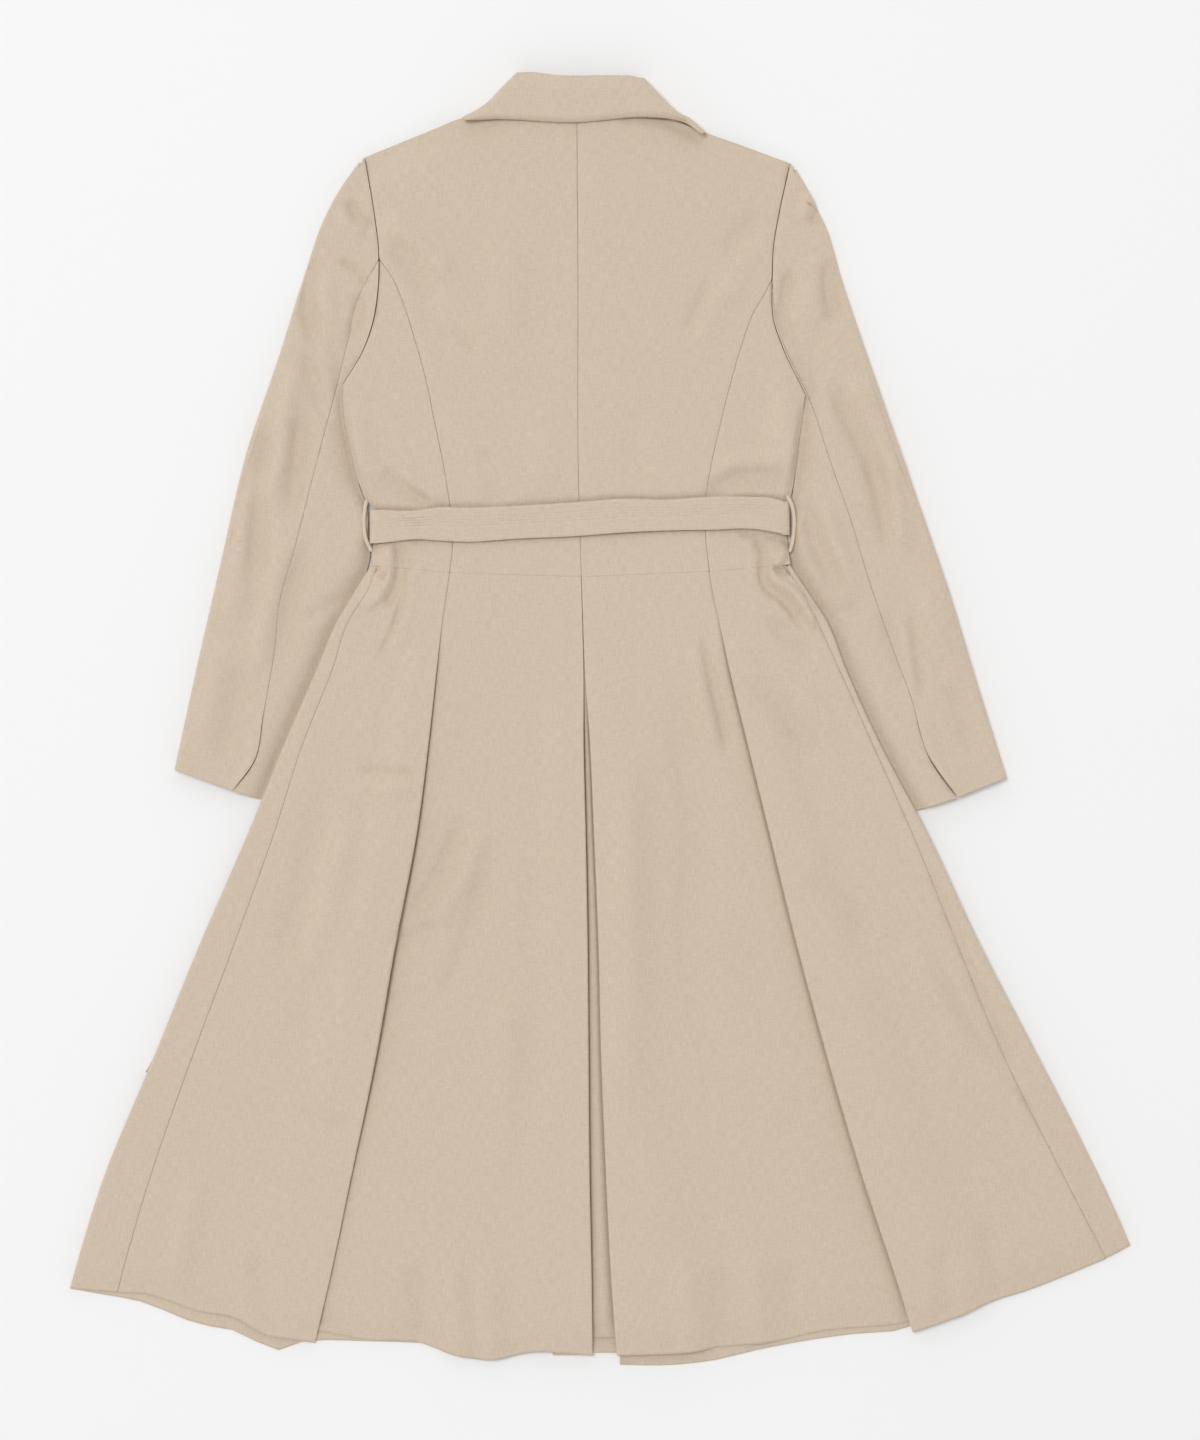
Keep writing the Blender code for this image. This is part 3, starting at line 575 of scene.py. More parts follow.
HEM_PRESS, HEM_REACH = 4.3, 0.036               # how far the hem lies lower, and over what share of its rows
PLEAT_DEPTH = {"waist": 8.0, "fold": 45.0, "centre": 40.0}
PLEAT_CLEAR = 5.0                               # level cloth past the turned-under edge
SIDE_DIP = {"left": 0.65, "right": 1.1}         # how far the side seam sinks in
PLEAT_SLOPE = (22.0, 60.0)                      # width of the rise over a pleat, at waist and hem
SKIRT = table(
    "y     left_edge left_seam left_fold left_pleat right_pleat right_fold right_seam right_edge",
    (155,  -228,     -221,     -149,     -18.7,     -18.7,      108,       182,       189.5),
    (130,  -243.7,   -231,     -152.5,   -18.2,     -18.2,      112,       200,       206),
    (100,  -261.6,   -250,     -157,     -17.4,     -17.2,      118.4,     215.6,     225.6),
    (50,   -283,     -267,     -162.7,   -16.2,     -15.4,      129,       238.7,     245.8),
    (-20,  -313.5,   -295,     -170.4,   -16,       -10.5,      146,       270,       277.7),
    (-110, -350,     -324,     -182,     -14,       -6.5,       168,       310,       325),
    (-220, -398,     -363.5,   -203,     -12,       -2,         195,       355,       377),
    (-340, -447,     -408,     -224,     -11,       1,          227.5,     405,       439),
    (-460, -497,     -450,     -249,     -10,       6,          263,       465,       500.5),
    (-560, -527.6,   -479,     -270,     -8,        11,         296,       517,       545.4),
    (-640, -550,     -500,     -289,     -7,        17,         321,       557,       580),
)
SKIRT_ENDS = table(
    "left_edge left_seam left_fold left_pleat right_pleat right_fold right_seam right_edge",
    (154,      153.6,    147,      143,       143,        148,       154.3,     155),
    (-568,     -572,     -622,     -634,      -634,       -611,      -538,      -525),
)
HEMS = {
    "front_left": table(
        "x y", (-530, -568), (-504, -573), (-460, -581), (-404, -603), (-353, -615), (-330, -630),
        (-300, -622), (-231, -621), (-120, -626), (-8, -632), (20, -632), (90, -627)),
    "front_right": table(
        "x y", (20, -644.5), (65, -645), (113, -640), (160, -629), (260, -613), (298, -610),
        (330, -598), (420, -564), (500, -534), (530, -525)),
    "side_left": table(
        "x y", (-483, -572), (-454, -574), (-401, -591), (-361, -599), (-336, -614), (-285, -622)),
    "side_right": table(
        "x y", (313, -611), (331, -609), (355, -597), (385, -583), (421, -572), (507, -538)),
    "back_left": table(
        "x y", (-325, -605), (-279, -611), (-231, -620), (-181, -622), (-150, -633), (-111, -639),
        (-66, -631), (-8, -634)),
    "back_right": table(
        "x y", (19, -633), (75, -632), (126, -626), (180, -620), (220, -611), (306, -602), (355, -588)),
}
WAIST = table("x y", (-226, 154), (-150, 147), (-18.5, 143), (109, 148), (189, 155))
SKIRT_ROWS = edged(224, 0.003) ** ROW_CROWDING
SKIRT_CREASES = (
    (-5.5, 8, 0, (166, 104), (190, 82), (216, 60)),
    (-4.2, 5, 0, (-246, -50), (-210, -53), (-178, -56)),
    (3.1, 8, 0, (-250, -66), (-214, -68), (-176, -70)),
    (-5, 13, 0, (-270, -50), (-290, -140), (-318, -262)),
    (4.8, 14, 0, (-244, -80), (-262, -160), (-282, -260)),
    (-3.8, 8, 0, (-306, -390), (-276, -400), (-244, -408)),
    (-5.5, 10, 0, (-346, -530), (-334, -580), (-326, -620)),
    (4.2, 14, 0, (-400, -440), (-416, -520), (-424, -580)),
    (-6.9, 8, 0, (-132, -90), (-166, -164), (-200, -204)),
    (5, 10, 0, (-112, -100), (-146, -176), (-176, -216)),
    (-6.1, 9, 0, (-110, -144), (-122, -190), (-158, -286)),
    (-4, 7, 0, (-220, -226), (-190, -214), (-160, -202)),
    (5.2, 17, 0, (-96, -260), (-94, -360), (-98, -470)),
    (-3.8, 15, 0, (-62, -100), (-56, -240), (-60, -400)),
    (-6.1, 10, 0, (-188, -540), (-176, -590), (-168, -650)),
    (5.5, 12, 0, (-150, -530), (-142, -590), (-138, -660)),
    (6.1, 14, 0, (-118, -540), (-110, -590), (-104, -670)),
    (-6.9, 16, 0, (72, 50), (98, -105), (92, -231), (116, -350)),
    (5.2, 18, 0, (38, 30), (30, -120), (26, -300), (24, -460)),
    (-5, 5, 0.3, (100, 92), (112, 34), (130, -42)),
    (4.2, 6, 0.2, (90, 80), (101, 30), (117, -40)),
    (-5.5, 9, 0, (142, 44), (184, 4), (226, -40)),
    (4.2, 10, 0, (160, 66), (204, 24), (244, -22)),
    (-5, 9, 0, (194, -160), (240, -178), (270, -222)),
    (-4.2, 6, -0.3, (327, -130), (358, -215), (391, -295), (430, -385)),
    (-2.9, 6, -0.3, (330, -220), (355, -280), (375, -315), (400, -346), (430, -390), (450, -440)),
    (1.5, 7, 0, (340, -216), (366, -280), (388, -318), (412, -350), (440, -400)),
    (3.1, 16, 0, (350, -300), (420, -390), (500, -524)),
    (4.2, 12, 0, (300, -210), (340, -290), (372, -356)),
    (-5.5, 9, 0, (119, -540), (122, -590), (125, -650)),
    (5, 14, 0, (80, -530), (90, -590), (94, -660)),
    (-5.5, 9, 0, (184, -540), (190, -580), (197, -620)),
    (5, 12, 0, (150, -530), (156, -580), (162, -640)),
    (-4.8, 9, 0, (340, -520), (344, -560), (348, -600)),
    (-4.8, 8, 0, (382, -500), (390, -544), (398, -580)),
)


def skirt_line(name):
    """Where an edge, seam or fold of the skirt runs, at each row from waist to hem."""
    top, hem = SKIRT_ENDS[name]
    y = top + SKIRT_ROWS * (hem - top)
    return np.stack([through(-y, -SKIRT["y"], SKIRT[name]), y], axis=1)


def trimmed(plan, hem, top=None):
    """A skirt panel's plan, with its rows spread from the waist seam, or a level, to the hem."""
    start = np.interp(plan[0, :, 0], WAIST["x"], WAIST["y"]) if top is None else top
    end = through(np.clip(plan[-1, :, 0], hem["x"][0], hem["x"][-1]), hem["x"], hem["y"])
    plan[..., 1] = start - WAIST_SEAM / 2 + SKIRT_ROWS[:, None] * (end - start + WAIST_SEAM / 2)
    return plan


def pleat_depth(kind):
    """Depth of a pleat at each row of the skirt."""
    return PLEAT_DEPTH["waist"] + SKIRT_ROWS * (PLEAT_DEPTH[kind] - PLEAT_DEPTH["waist"])


def turn(edge, inward, low, high, depth=1, level=0):
    """A folded edge: columns on a half circle from height low to high, or on an ellipse that is depth times
    as deep. They stand square to the edge line, or straight across the coat over its first share, level."""
    square = aside(edge, inward) - edge
    if level:
        start = smooth(1 - steps(len(edge) - 1) / level)[:, None]
        square = (1 - start) * square + start * (inward, 0)
    angle = np.linspace(0, np.pi, 9)
    middle, half = ((low + high) / 2)[:, None], ((high - low) / 2)[:, None]
    reach = depth * np.abs(half) * (1 - np.sin(angle)) + CLOTH / 2
    return raised(edge[:, None] + square[:, None] * reach[..., None], middle - half * np.cos(angle))


def opened(name):
    """How far a pleat has opened at each row: 0 where it is sewn shut, up to 1 where it stands widest."""
    y = np.minimum(skirt_line(name)[:, 1], PLEAT_OPENING["y"][0])
    return np.clip(through(-y, -PLEAT_OPENING["y"], PLEAT_OPENING[name]), 0, 1)


def skirt_level(plan, rows=()):
    """Height of the layer that the back of the skirt makes, pressed towards the front along the hem."""
    return back_level(plan, rows) - HEM_PRESS * smooth((SKIRT_ROWS - 1 + HEM_REACH) / HEM_REACH)[:, None]


def passing_under(plan, fold, out, opening):
    """How far a panel dips to go under the fold of the next: by an S-shaped step where the pleat is shut, and
    by a slow and a sharp square curve, added, where it is open."""
    past = out * (plan[..., 0] - np.interp(plan[..., 1], fold[::-1, 1], fold[::-1, 0]))
    opening = opening[:, None]
    dip = OPEN_UNDER[out] * run(past, -OPEN_REACH, 0) ** 2 + EDGE_UNDER * run(past, -EDGE_REACH, 0) ** 2
    return SHUT_UNDER * (1 - opening) * smooth((past + SHUT_REACH) / 3) - dip * opening


def pleated(name, body, edge, out, depth, rise, opening, hem, sewn, dip=None):
    """A panel that rises over its pleat on an S-shaped slope, folds at its edge and turns back by depth."""
    v = SKIRT_ROWS
    slope = PLEAT_SLOPE[0] + v * (PLEAT_SLOPE[1] - PLEAT_SLOPE[0])
    over, under = rise * opening, RETURN_RISE * opening + SHUT_RETURN * (1 - opening)
    foot = aside(edge, out * (depth + PLEAT_CLEAR + slope))
    crest = aside(edge, out * (depth + PLEAT_CLEAR))
    climb = steps(14)
    flat = ruled(body[:, -1], foot, edged(44, 0.006, "first" in sewn, False))
    flat = trimmed(np.concatenate([body, flat[:, 1:]], axis=1), hem)
    if body.shape[1] == 1:          # the side seam keeps its own rows
        flat[:, 0] = body[:, 0]
    flat_height = skirt_level(flat, SKIRT_CREASES)
    if dip is not None:
        flat_height += passing_under(flat, *dip)
    flat_height = np.maximum(flat_height, FRONT + LEAST_OVER_FRONT + lift(flat))
    ramp = trimmed(ruled(foot, crest, climb), hem)
    ramp_height = skirt_level(ramp, SKIRT_CREASES) + over[:, None] * smooth(climb)
    on_edge = edge[:, None]
    high = skirt_level(on_edge, SKIRT_CREASES)[:, 0]
    low = skirt_level(on_edge)[:, 0]
    fold = turn(edge, out, over + high, under + low, FOLD_DEPTH)
    lip = ruled(ramp[:, -1], fold[:, 0, :2], edged(12, 0.02, False, True))
    lip_height = skirt_level(lip, SKIRT_CREASES) + over[:, None]
    lip_height[:, -1] = over + high
    back_run = ruled(fold[:, -1, :2], aside(edge, out * depth), steps(8))
    back_height = skirt_level(back_run) + under[:, None] - np.linspace(0, 0.6, 9) * opening[:, None]
    back_height[:, 0] = under + low
    points = beside(raised(flat, flat_height), raised(ramp, ramp_height), raised(lip, lip_height), fold,
                    raised(back_run, back_height))
    panel(name, points, sewn)


for side, out in SIDES.items():
    fold, pleat = skirt_line(f"{side}_fold"), skirt_line(f"{side}_pleat")
    depth, opening = pleat_depth("fold"), opened(f"{side}_fold")
    tucked = ruled(aside(fold, out * depth), fold, steps(8))
    pleated(f"back_skirt_{side}", tucked, aside(pleat, out * SEAM / 2), out, pleat_depth("centre"),
            TOP_RISE["centre"], opened(f"{side}_pleat"), HEMS[f"back_{side}"],
            {"top": WAIST_DIP}, (fold, out, opening))
    seam = aside(skirt_line(f"{side}_seam"), -out * SEAM / 2)
    pleated(f"side_skirt_{side}", seam[:, None], fold, out, depth,
            TOP_RISE["fold"], opening, HEMS[f"side_{side}"],
            {"first": SIDE_DIP[side], "top": WAIST_DIP})


# Front of the skirt: one panel of coating on each side, under the rest and with its outside on the floor. It
# turns round the laid edge of the coat and comes up to the side seam, where it is sewn to the side panel. A
# strip of it shows there and below the back hem.

for side, out in SIDES.items():
    edge, seam = skirt_line(f"{side}_edge"), skirt_line(f"{side}_seam")
    hem, lapped = HEMS[f"front_{side}"], side == "left"
    low = FRONT + lift(edge[:, None], lapped)[:, 0]
    high = skirt_level(edge[:, None], SKIRT_CREASES)[:, 0]
    wrap = turn(edge, -out, low, high)
    opening = np.column_stack([np.full(len(edge), LAP[side]), edge[:, 1]])
    lower = trimmed(ruled(opening, wrap[:, 0, :2], steps(26)), hem, FRONT_WAIST)
    lower_height = FRONT + lift(lower, lapped)
    lower_height[:, -1] = low
    lower[:, -1] = wrap[:, 0, :2]
    upper = ruled(wrap[:, -1, :2], aside(seam, out * SEAM / 2), edged(14, 0.03, False, True))
    upper_height = skirt_level(upper, SKIRT_CREASES)
    upper_height[:, 0] = high
    points = beside(raised(lower, lower_height), wrap, raised(upper, upper_height))
    panel(f"front_skirt_{side}", points, {"last": SIDE_DIP[side]})


# Pleat underlay: a strip of coating behind the centre pleat, sewn to the turned-under edges of the two back
# panels. Its foot shows in the opening of the pleat.

UNDERLAY_HEM, UNDERLAY_RISE = -617.0, 1.4
depth = pleat_depth("centre")
left, right = aside(skirt_line("left_pleat"), -depth), aside(skirt_line("right_pleat"), depth)
hem = table("x y", (left[-1, 0], UNDERLAY_HEM), (right[-1, 0], UNDERLAY_HEM))
plan = trimmed(ruled(left, right, steps(20)), hem)
height = skirt_level(plan) + UNDERLAY_RISE * opened("left_pleat")[:, None]
for side, out in SIDES.items():
    height += passing_under(plan, skirt_line(f"{side}_pleat"), out, opened(f"{side}_pleat"))
height = np.maximum(height, FRONT + LEAST_OVER_FRONT + lift(plan))
panel("pleat_underlay", raised(plan, height))


# Sleeves: each is a tube of two pieces of coating that lies flat, set into the armhole. The top sleeve goes
# round the outer edge and makes the whole lower layer. The narrow under sleeve is sewn in behind the hind-arm
# seam, which opens in a rounded cuff vent.

UNDERARM_AT = {"left": 0.247, "right": 0.226}   # share of the hind-arm seam above the underarm
SLEEVE_OUTER = {
    "left": ((-241, 557), (-260, 530), (-278, 495), (-292, 455), (-320, 365), (-355, 260), (-378, 160),
             (-396, 82), (-425, -50)),
    "right": ((196, 550), (210, 525), (224, 496), (243, 435), (280, 325), (315, 225), (351, 120), (374, 44),
              (406, -58)),
}
HIND_SEAM = {
    "left": ((-243, 418), (-252, 380), (-264, 330), (-287, 240), (-305, 170), (-319, 120), (-326, 61),
             (-336, 3), (-344, -40), (-366, -71)),
    "right": ((175, 401), (184, 374), (207.5, 325), (230, 257), (250, 200), (268, 140), (295, 64), (309, 26),
              (330, -41), (356, -78)),
}
SLEEVE_INNER = {
    "left": ((-255.5, 305), (-247, 262), (-239, 230), (-232, 212), (-231, 192), (-230.6, 177), (-229.3, 166),
             (-233, 148), (-248, 102), (-274, 20), (-306, -89)),
    "right": ((198, 283), (195, 248), (192.5, 226), (190.8, 205), (190.4, 186), (189, 172), (189.6, 156),
              (206, 112), (246, 20), (286, -100)),
}
SLEEVE_LOW, SLEEVE_CAP, SLEEVE_TOP = 2.05, 6.3, 10.5    # heights beside the body, on the cap and on the arm
SLEEVE_LEAST, SLEEVE_DEEPEST = 1.9, 8.0         # least height of the upper layer, and its deepest trough
SLEEVE_START, SLEEVE_RISE = 3.5, 27             # where it starts to rise beside the body, and over what width
SLEEVE_WAIST, SLEEVE_WAIST_REACH = 188, 26      # level near the belt where it starts later and rises faster
SLEEVE_CREASES = (
    (-5.5, 5, 0, (-252, 522), (-240, 500), (-222, 491)),
    (3.6, 6, 0, (-262, 514), (-250, 492), (-230, 482)),
    (-5.5, 5, 0, (-262, 460), (-240, 446), (-231, 430)),
    (-9.1, 9, 0.2, (-284, 470), (-291, 410), (-282, 364)),
    (5.3, 11, 0, (-278, 446), (-273, 408), (-264, 370)),
    (-7.2, 6, 0, (-242, 432), (-240, 402), (-250, 364)),
    (-7.2, 8, 0, (-296, 372), (-284, 334), (-272, 296)),
    (8, 11, 0, (-304, 360), (-318, 275), (-338, 200)),
    (-8, 9, 0.1, (-298, 320), (-303, 254), (-310, 196)),
    (-8.5, 11, 0, (-324, 304), (-341, 214), (-346, 130)),
    (6.1, 11, 0, (-350, 240), (-360, 160), (-368, 90)),
    (-6.1, 9, 0, (-354, 264), (-362, 200), (-366, 156)),
    (-6.6, 9, 0, (-286, 196), (-308, 118), (-326, 36)),
    (5.5, 10, 0, (-310, 190), (-330, 110), (-346, 30)),
    (-4.6, 7, 0, (-250, 126), (-280, 108), (-306, 100)),
    (4.9, 13, 0, (-372, 90), (-388, 20), (-398, -40)),
    (-4.2, 11, 0, (-352, 60), (-366, 0), (-380, -50)),
    (6.1, 6, 0, (198, 496), (210, 518), (224, 542)),
    (-6.1, 5, 0, (210, 492), (219, 510), (230, 530)),
    (-8, 8, 0, (228, 464), (230, 424), (236, 388)),
    (4.2, 11, 0, (212, 470), (212, 424), (214, 384)),
    (-7.2, 7, 0, (192, 452), (186, 422), (182, 396)),
    (-7.2, 5, 0, (177, 416), (184, 392), (194, 366)),
    (-7.2, 9, 0, (228, 344), (258, 282), (286, 226)),
    (7.2, 10, 0, (250, 350), (280, 286), (302, 230)),
    (-7.2, 9, 0.1, (268, 270), (280, 218), (288, 168)),
    (7.2, 9, 0, (286, 262), (296, 214), (304, 166)),
    (-8, 9, 0, (203, 232), (216, 174), (244, 118)),
    (5.5, 9, 0, (222, 220), (238, 170), (262, 120)),
    (-5.7, 9, 0, (280, 114), (298, 68), (312, 24)),
    (5.5, 12, 0, (320, 150), (340, 80), (360, 20)),
    (-4.6, 11, 0, (334, 80), (356, 20), (376, -40)),
    (-11, 5, 0, (-240, 420), (-247, 390), (-258, 350), (-262, 312)),
    (-9.5, 5, 0, (184, 410), (192, 380), (206, 340), (213, 312)),
    (-4.6, 7, 0, (214, 93), (240, 108), (264, 118)),
    (-4.2, 6, 0, (310, 110), (317, 64), (324, 16)),
    (3.4, 7, 0, (300, 100), (306, 60), (312, 20)),
)
VENT_RIDGE = {
    "left": ((2.0, 6, 0, (-334, 14), (-341, -20), (-352, -52), (-368, -80)),),
    "right": ((3.2, 6, 0, (318, 10), (331, -28), (346, -60), (362, -88)),),
}
VENT_GAP = {"left": 0.9, "right": 2.2}          # how far the cuff vent gapes
VENT_FROM, VENT_REACH = 0.93, 0.03              # share of the sleeve's length where it opens


def sleeve_level(plan, side, out):
    """Height of a sleeve's upper layer: low beside the body and the skirt, and rising away from them on a
    curve that is steepest at its start, to a full and creased arm."""
    covers = np.vstack([flank(side, steps(20)), skirt_line(f"{side}_edge")[::12]])
    covers = covers[np.argsort(covers[:, 1])]
    clear = out * (plan[..., 0] - np.interp(plan[..., 1], covers[:, 1], covers[:, 0]))
    waist = np.exp(-((plan[..., 1] - SLEEVE_WAIST) / SLEEVE_WAIST_REACH) ** 2)
    cap = smooth((plan[..., 1] - 335) / 110)
    start, width = SLEEVE_START + 2.5 * waist, SLEEVE_RISE - 15 * waist
    rise = 1 - (1 - np.clip((clear - start) / width, 0, 1)) ** 2
    full = np.maximum(rise, smooth((plan[..., 1] - 345) / 70))
    crown = SLEEVE_TOP + cap * (SLEEVE_CAP - SLEEVE_TOP)
    height = SLEEVE_LOW + full * (crown - SLEEVE_LOW + creases(plan, SLEEVE_CREASES, deepest=SLEEVE_DEEPEST))
    return np.maximum(height, SLEEVE_LEAST)


def hind_seam(side, shares):
    """The hind-arm seam from the princess seam to the cuff, read so that 0.5 is at the underarm."""
    at, start = UNDERARM_AT[side], armhole(side, np.array([0.5]))[0]
    return line((start, *HIND_SEAM[side]), at * run(shares, 0.25, 0.5) + (1 - at) * run(shares, 0.5, 1))


def sleeve_inner(side, shares):
    """The sleeve's inner edge, up the armhole and down from the underarm at 0.5 to the cuff."""
    below = line((ARMHOLE[side][-1], *SLEEVE_INNER[side]), run(shares, 0.5, 1))
    return np.where((shares < 0.5)[:, None], armhole(side, run(shares, 0, 0.5)), below)


for side, out in SIDES.items():
    v = edged(186, 0.002)
    inner, outer = sleeve_inner(side, v), line(SLEEVE_OUTER[side], v)
    in_arm = v < 0.25
    gape = VENT_GAP[side] * smooth((v - VENT_FROM) / VENT_REACH)
    seam = np.where(in_arm[:, None], inner, hind_seam(side, v))
    seam = aside(seam, out / 2 * np.where(in_arm, ARM_SEAM, SEAM + gape))
    under_edge = aside(inner, out * SEAM / 2)
    low = np.full(len(outer), FRONT)
    high = sleeve_level(aside(outer, -out * 2)[:, None], side, out)[:, 0]
    fold = turn(outer, -out, low, high)
    lower = ruled(under_edge, fold[:, 0, :2], steps(16))
    upper = ruled(fold[:, -1, :2], seam, edged(40, 0.008, True, True))
    upper_height = sleeve_level(upper, side, out) + creases(upper, VENT_RIDGE[side])
    upper_height[:, 0] = high
    panel(f"top_sleeve_{side}", beside(raised(lower, FRONT), fold, raised(upper, upper_height)),
          {"last": np.where(in_arm, ARM_DIP, DIP)[:, None]})

    v = 0.25 + 0.75 * (POINT + (1 - POINT) * edged(150, 0.002))
    edge = aside(sleeve_inner(side, v), out / 2 * np.where(v < 0.5, ARM_SEAM, SEAM))
    plan = ruled(aside(hind_seam(side, v), -out * SEAM / 2), edge, edged(24, 0.012))
    points = raised(plan, sleeve_level(plan, side, out))
    panel(f"under_sleeve_{side}", points, {"first": DIP})


# Collar: a turned-down leaf of doubled coating that goes round the neck, over the back and under the fronts,
# and the stand inside it, which joins it to the neck seam.

COLLAR_WALL = 1.6
COLLAR_FLOOR = 0.9      # height of the leaf's ends on the floor
COLLAR_FOLD = {
    "left": ((-84, 644.2), (-99, 629.5), (-112, 616), (-126, 606.5), (-137, 601)),
    "right": ((45, 638.5), (60, 623), (79, 605), (89, 600), (105, 586)),
}
COLLAR_END = {"left": ((-28, 615), (-40, 556)), "right": ((2, 612), (12, 556))}
COLLAR_ROLL = ((-72, 644.6), (-41, 641.5), (18, 641), (31, 640.6))
COLLAR_LOWER = ((-122, 598.5), (-106, 599.5), (-84, 599), (-55, 597), (-26, 596), (3, 598), (31, 601),
                (50, 601), (68, 599.6), (86, 595))
STAND_SIDE = {"left": ((-74, 638), (-100, 604.5)), "right": ((38, 632), (62, 601.5))}
LEAF_RISE, LEAF_ROLL = 8.8, 7.0         # the leaf above the back, and how far its lower edge rolls down
LEAF_BELLY, LEAF_PRESS = 0.9, 1.2       # how far its middle swells, and its roll at the neck lies lower
LEAF_FOLD_DEPTH, LEAF_FOLD_LEVEL = 0.45, 0.2
LEAF_END = 0.08                         # share of its width over which these fade at each end

v = edged(22, 0.02)
folds, fronts = {}, {}
for side, out in SIDES.items():
    edge = line(COLLAR_FOLD[side], v)
    leaf = BACK + LEAF_RISE + lift(edge[:, None])[:, 0]
    floor_level = np.full(len(edge), COLLAR_FLOOR)
    folds[side] = turn(edge, -out, floor_level, leaf, LEAF_FOLD_DEPTH, LEAF_FOLD_LEVEL)
    fronts[side] = raised(ruled(line(COLLAR_END[side], v), folds[side][:, 0, :2], steps(18)), COLLAR_FLOOR)
start, stop = folds["left"][:, -1], folds["right"][:, -1]
u = steps(56)
roll = line((start[0, :2], *COLLAR_ROLL, stop[0, :2]), u)
lower = line((start[-1, :2], *COLLAR_LOWER, stop[-1, :2]), u)
plan = patch(start[:, :2], stop[:, :2], roll, lower, u, v)
height = BACK + LEAF_RISE + lift(plan)
belly = LEAF_BELLY * np.sin(np.pi * run(v, 0, 0.5)) - LEAF_PRESS * smooth(1 - v / 0.1)
belly -= LEAF_ROLL * run(v, 0.85, 1) ** 2
height += smooth(u / LEAF_END) * smooth((1 - u) / LEAF_END) * belly[:, None]
height[:, 0], height[:, -1] = start[:, 2], stop[:, 2]
leaf_points = beside(fronts["left"], folds["left"], raised(plan, height), folds["right"][:, ::-1],
                     fronts["right"][:, ::-1])
panel("collar_leaf", leaf_points, wall=COLLAR_WALL)

u, v = steps(40), steps(10)
left, right = line(STAND_SIDE["left"], v), line(STAND_SIDE["right"], v)
centre = np.array([CENTRE[0]])
seam = np.where((u < 0.5)[:, None], ruled(left[-1:], centre, run(u, 0, 0.5))[0],
                ruled(centre, right[-1:], run(u, 0.5, 1))[0])
plan = patch(left, right, ruled(left[:1], right[:1], u)[0], seam + (0, SEAM), u, v)
panel("collar_stand", raised(plan, BACK + lift(plan)))


# Tie belt: a doubled strip of the coating, edge-stitched and with rows of stitching along it. It is held by
# its loops, lies over the back and turns round both sides of the waist. Its tails lie on the floor, under the
# fronts.

BELT_WALL = 2.0
BELT_WIDTH = 33.0
BELT_FLOOR = 1.25       # height of the tails' middle above the floor
BELT_BACK = 9.7         # the same for the belt over the back
BELT_EDGE = {"left": -230.0, "right": 189.5}    # where it turns round the side
BELT_LINE = table(      # its middle
    "x y", (-230, 192.5), (-178, 194.5), (-85, 197), (-20, 200), (63, 204), (149, 206.5), (190, 201))
BELT_EDGES = table(
    "x     upper  lower",
    (-230, 209,   176),
    (-212, 208.5, 177.5),
    (-196, 208,   179.5),
    (-178, 209,   180.5),
    (-166, 211,   179.5),
    (-131, 211,   178),
    (-85,  213,   181),
    (-20,  217,   184),
    (20,   220,   187),
    (63,   219,   189),
    (115,  222,   190),
    (149,  222,   191),
    (172,  221,   188),
    (190,  217.5, 184.5),
)
TAIL_TURN, TAIL_START, TAIL_TURN_END = 26.0, 17.0, 107.0    # radius of its bend, start from the edge, degrees
TAIL = {
    "left": ((-202, 115), (-229, 20), (-275, -80), (-335, -180), (-440, -360)),
    "right": ((162, 120), (187, 30), (228, -70), (285, -190), (340, -310)),
}
STITCH_ROWS, STITCH_DEPTH = (0.26, 0.35, 0.44, 0.53), 0.42      # shares of the width
BELT_ACROSS = np.r_[0, 0.015, 0.04, 0.07, 0.1, 0.14, 0.19, np.arange(0.22, 0.58, 0.015), 0.64, 0.72, 0.8,
                    0.86, 0.9, 0.93, 0.96, 0.985, 1]
BELT_FOLDS = (
    (1.6, 9, 0, (-200, 200), (-188, 182), (-176, 168)),
    (2.0, 16, 0, (140, 180), (168, 184), (196, 176)),
    (1.0, 10, 0, (60, 172), (30, 184), (-2, 176)),
)


def belt_relief(across):
    """Height across the belt: a soft ridge inside each edge, rounded edges and shallow rows of stitching."""
    from_edge = np.minimum(across, 1 - across)
    ridge = 0.35 * np.exp(-((from_edge - 0.07) / 0.035) ** 2) - 0.6 * np.exp(-(from_edge / 0.02) ** 2)
    rows = sum(np.exp(-((across - at) / 0.024) ** 2) for at in STITCH_ROWS)
    return ridge - STITCH_DEPTH * rows


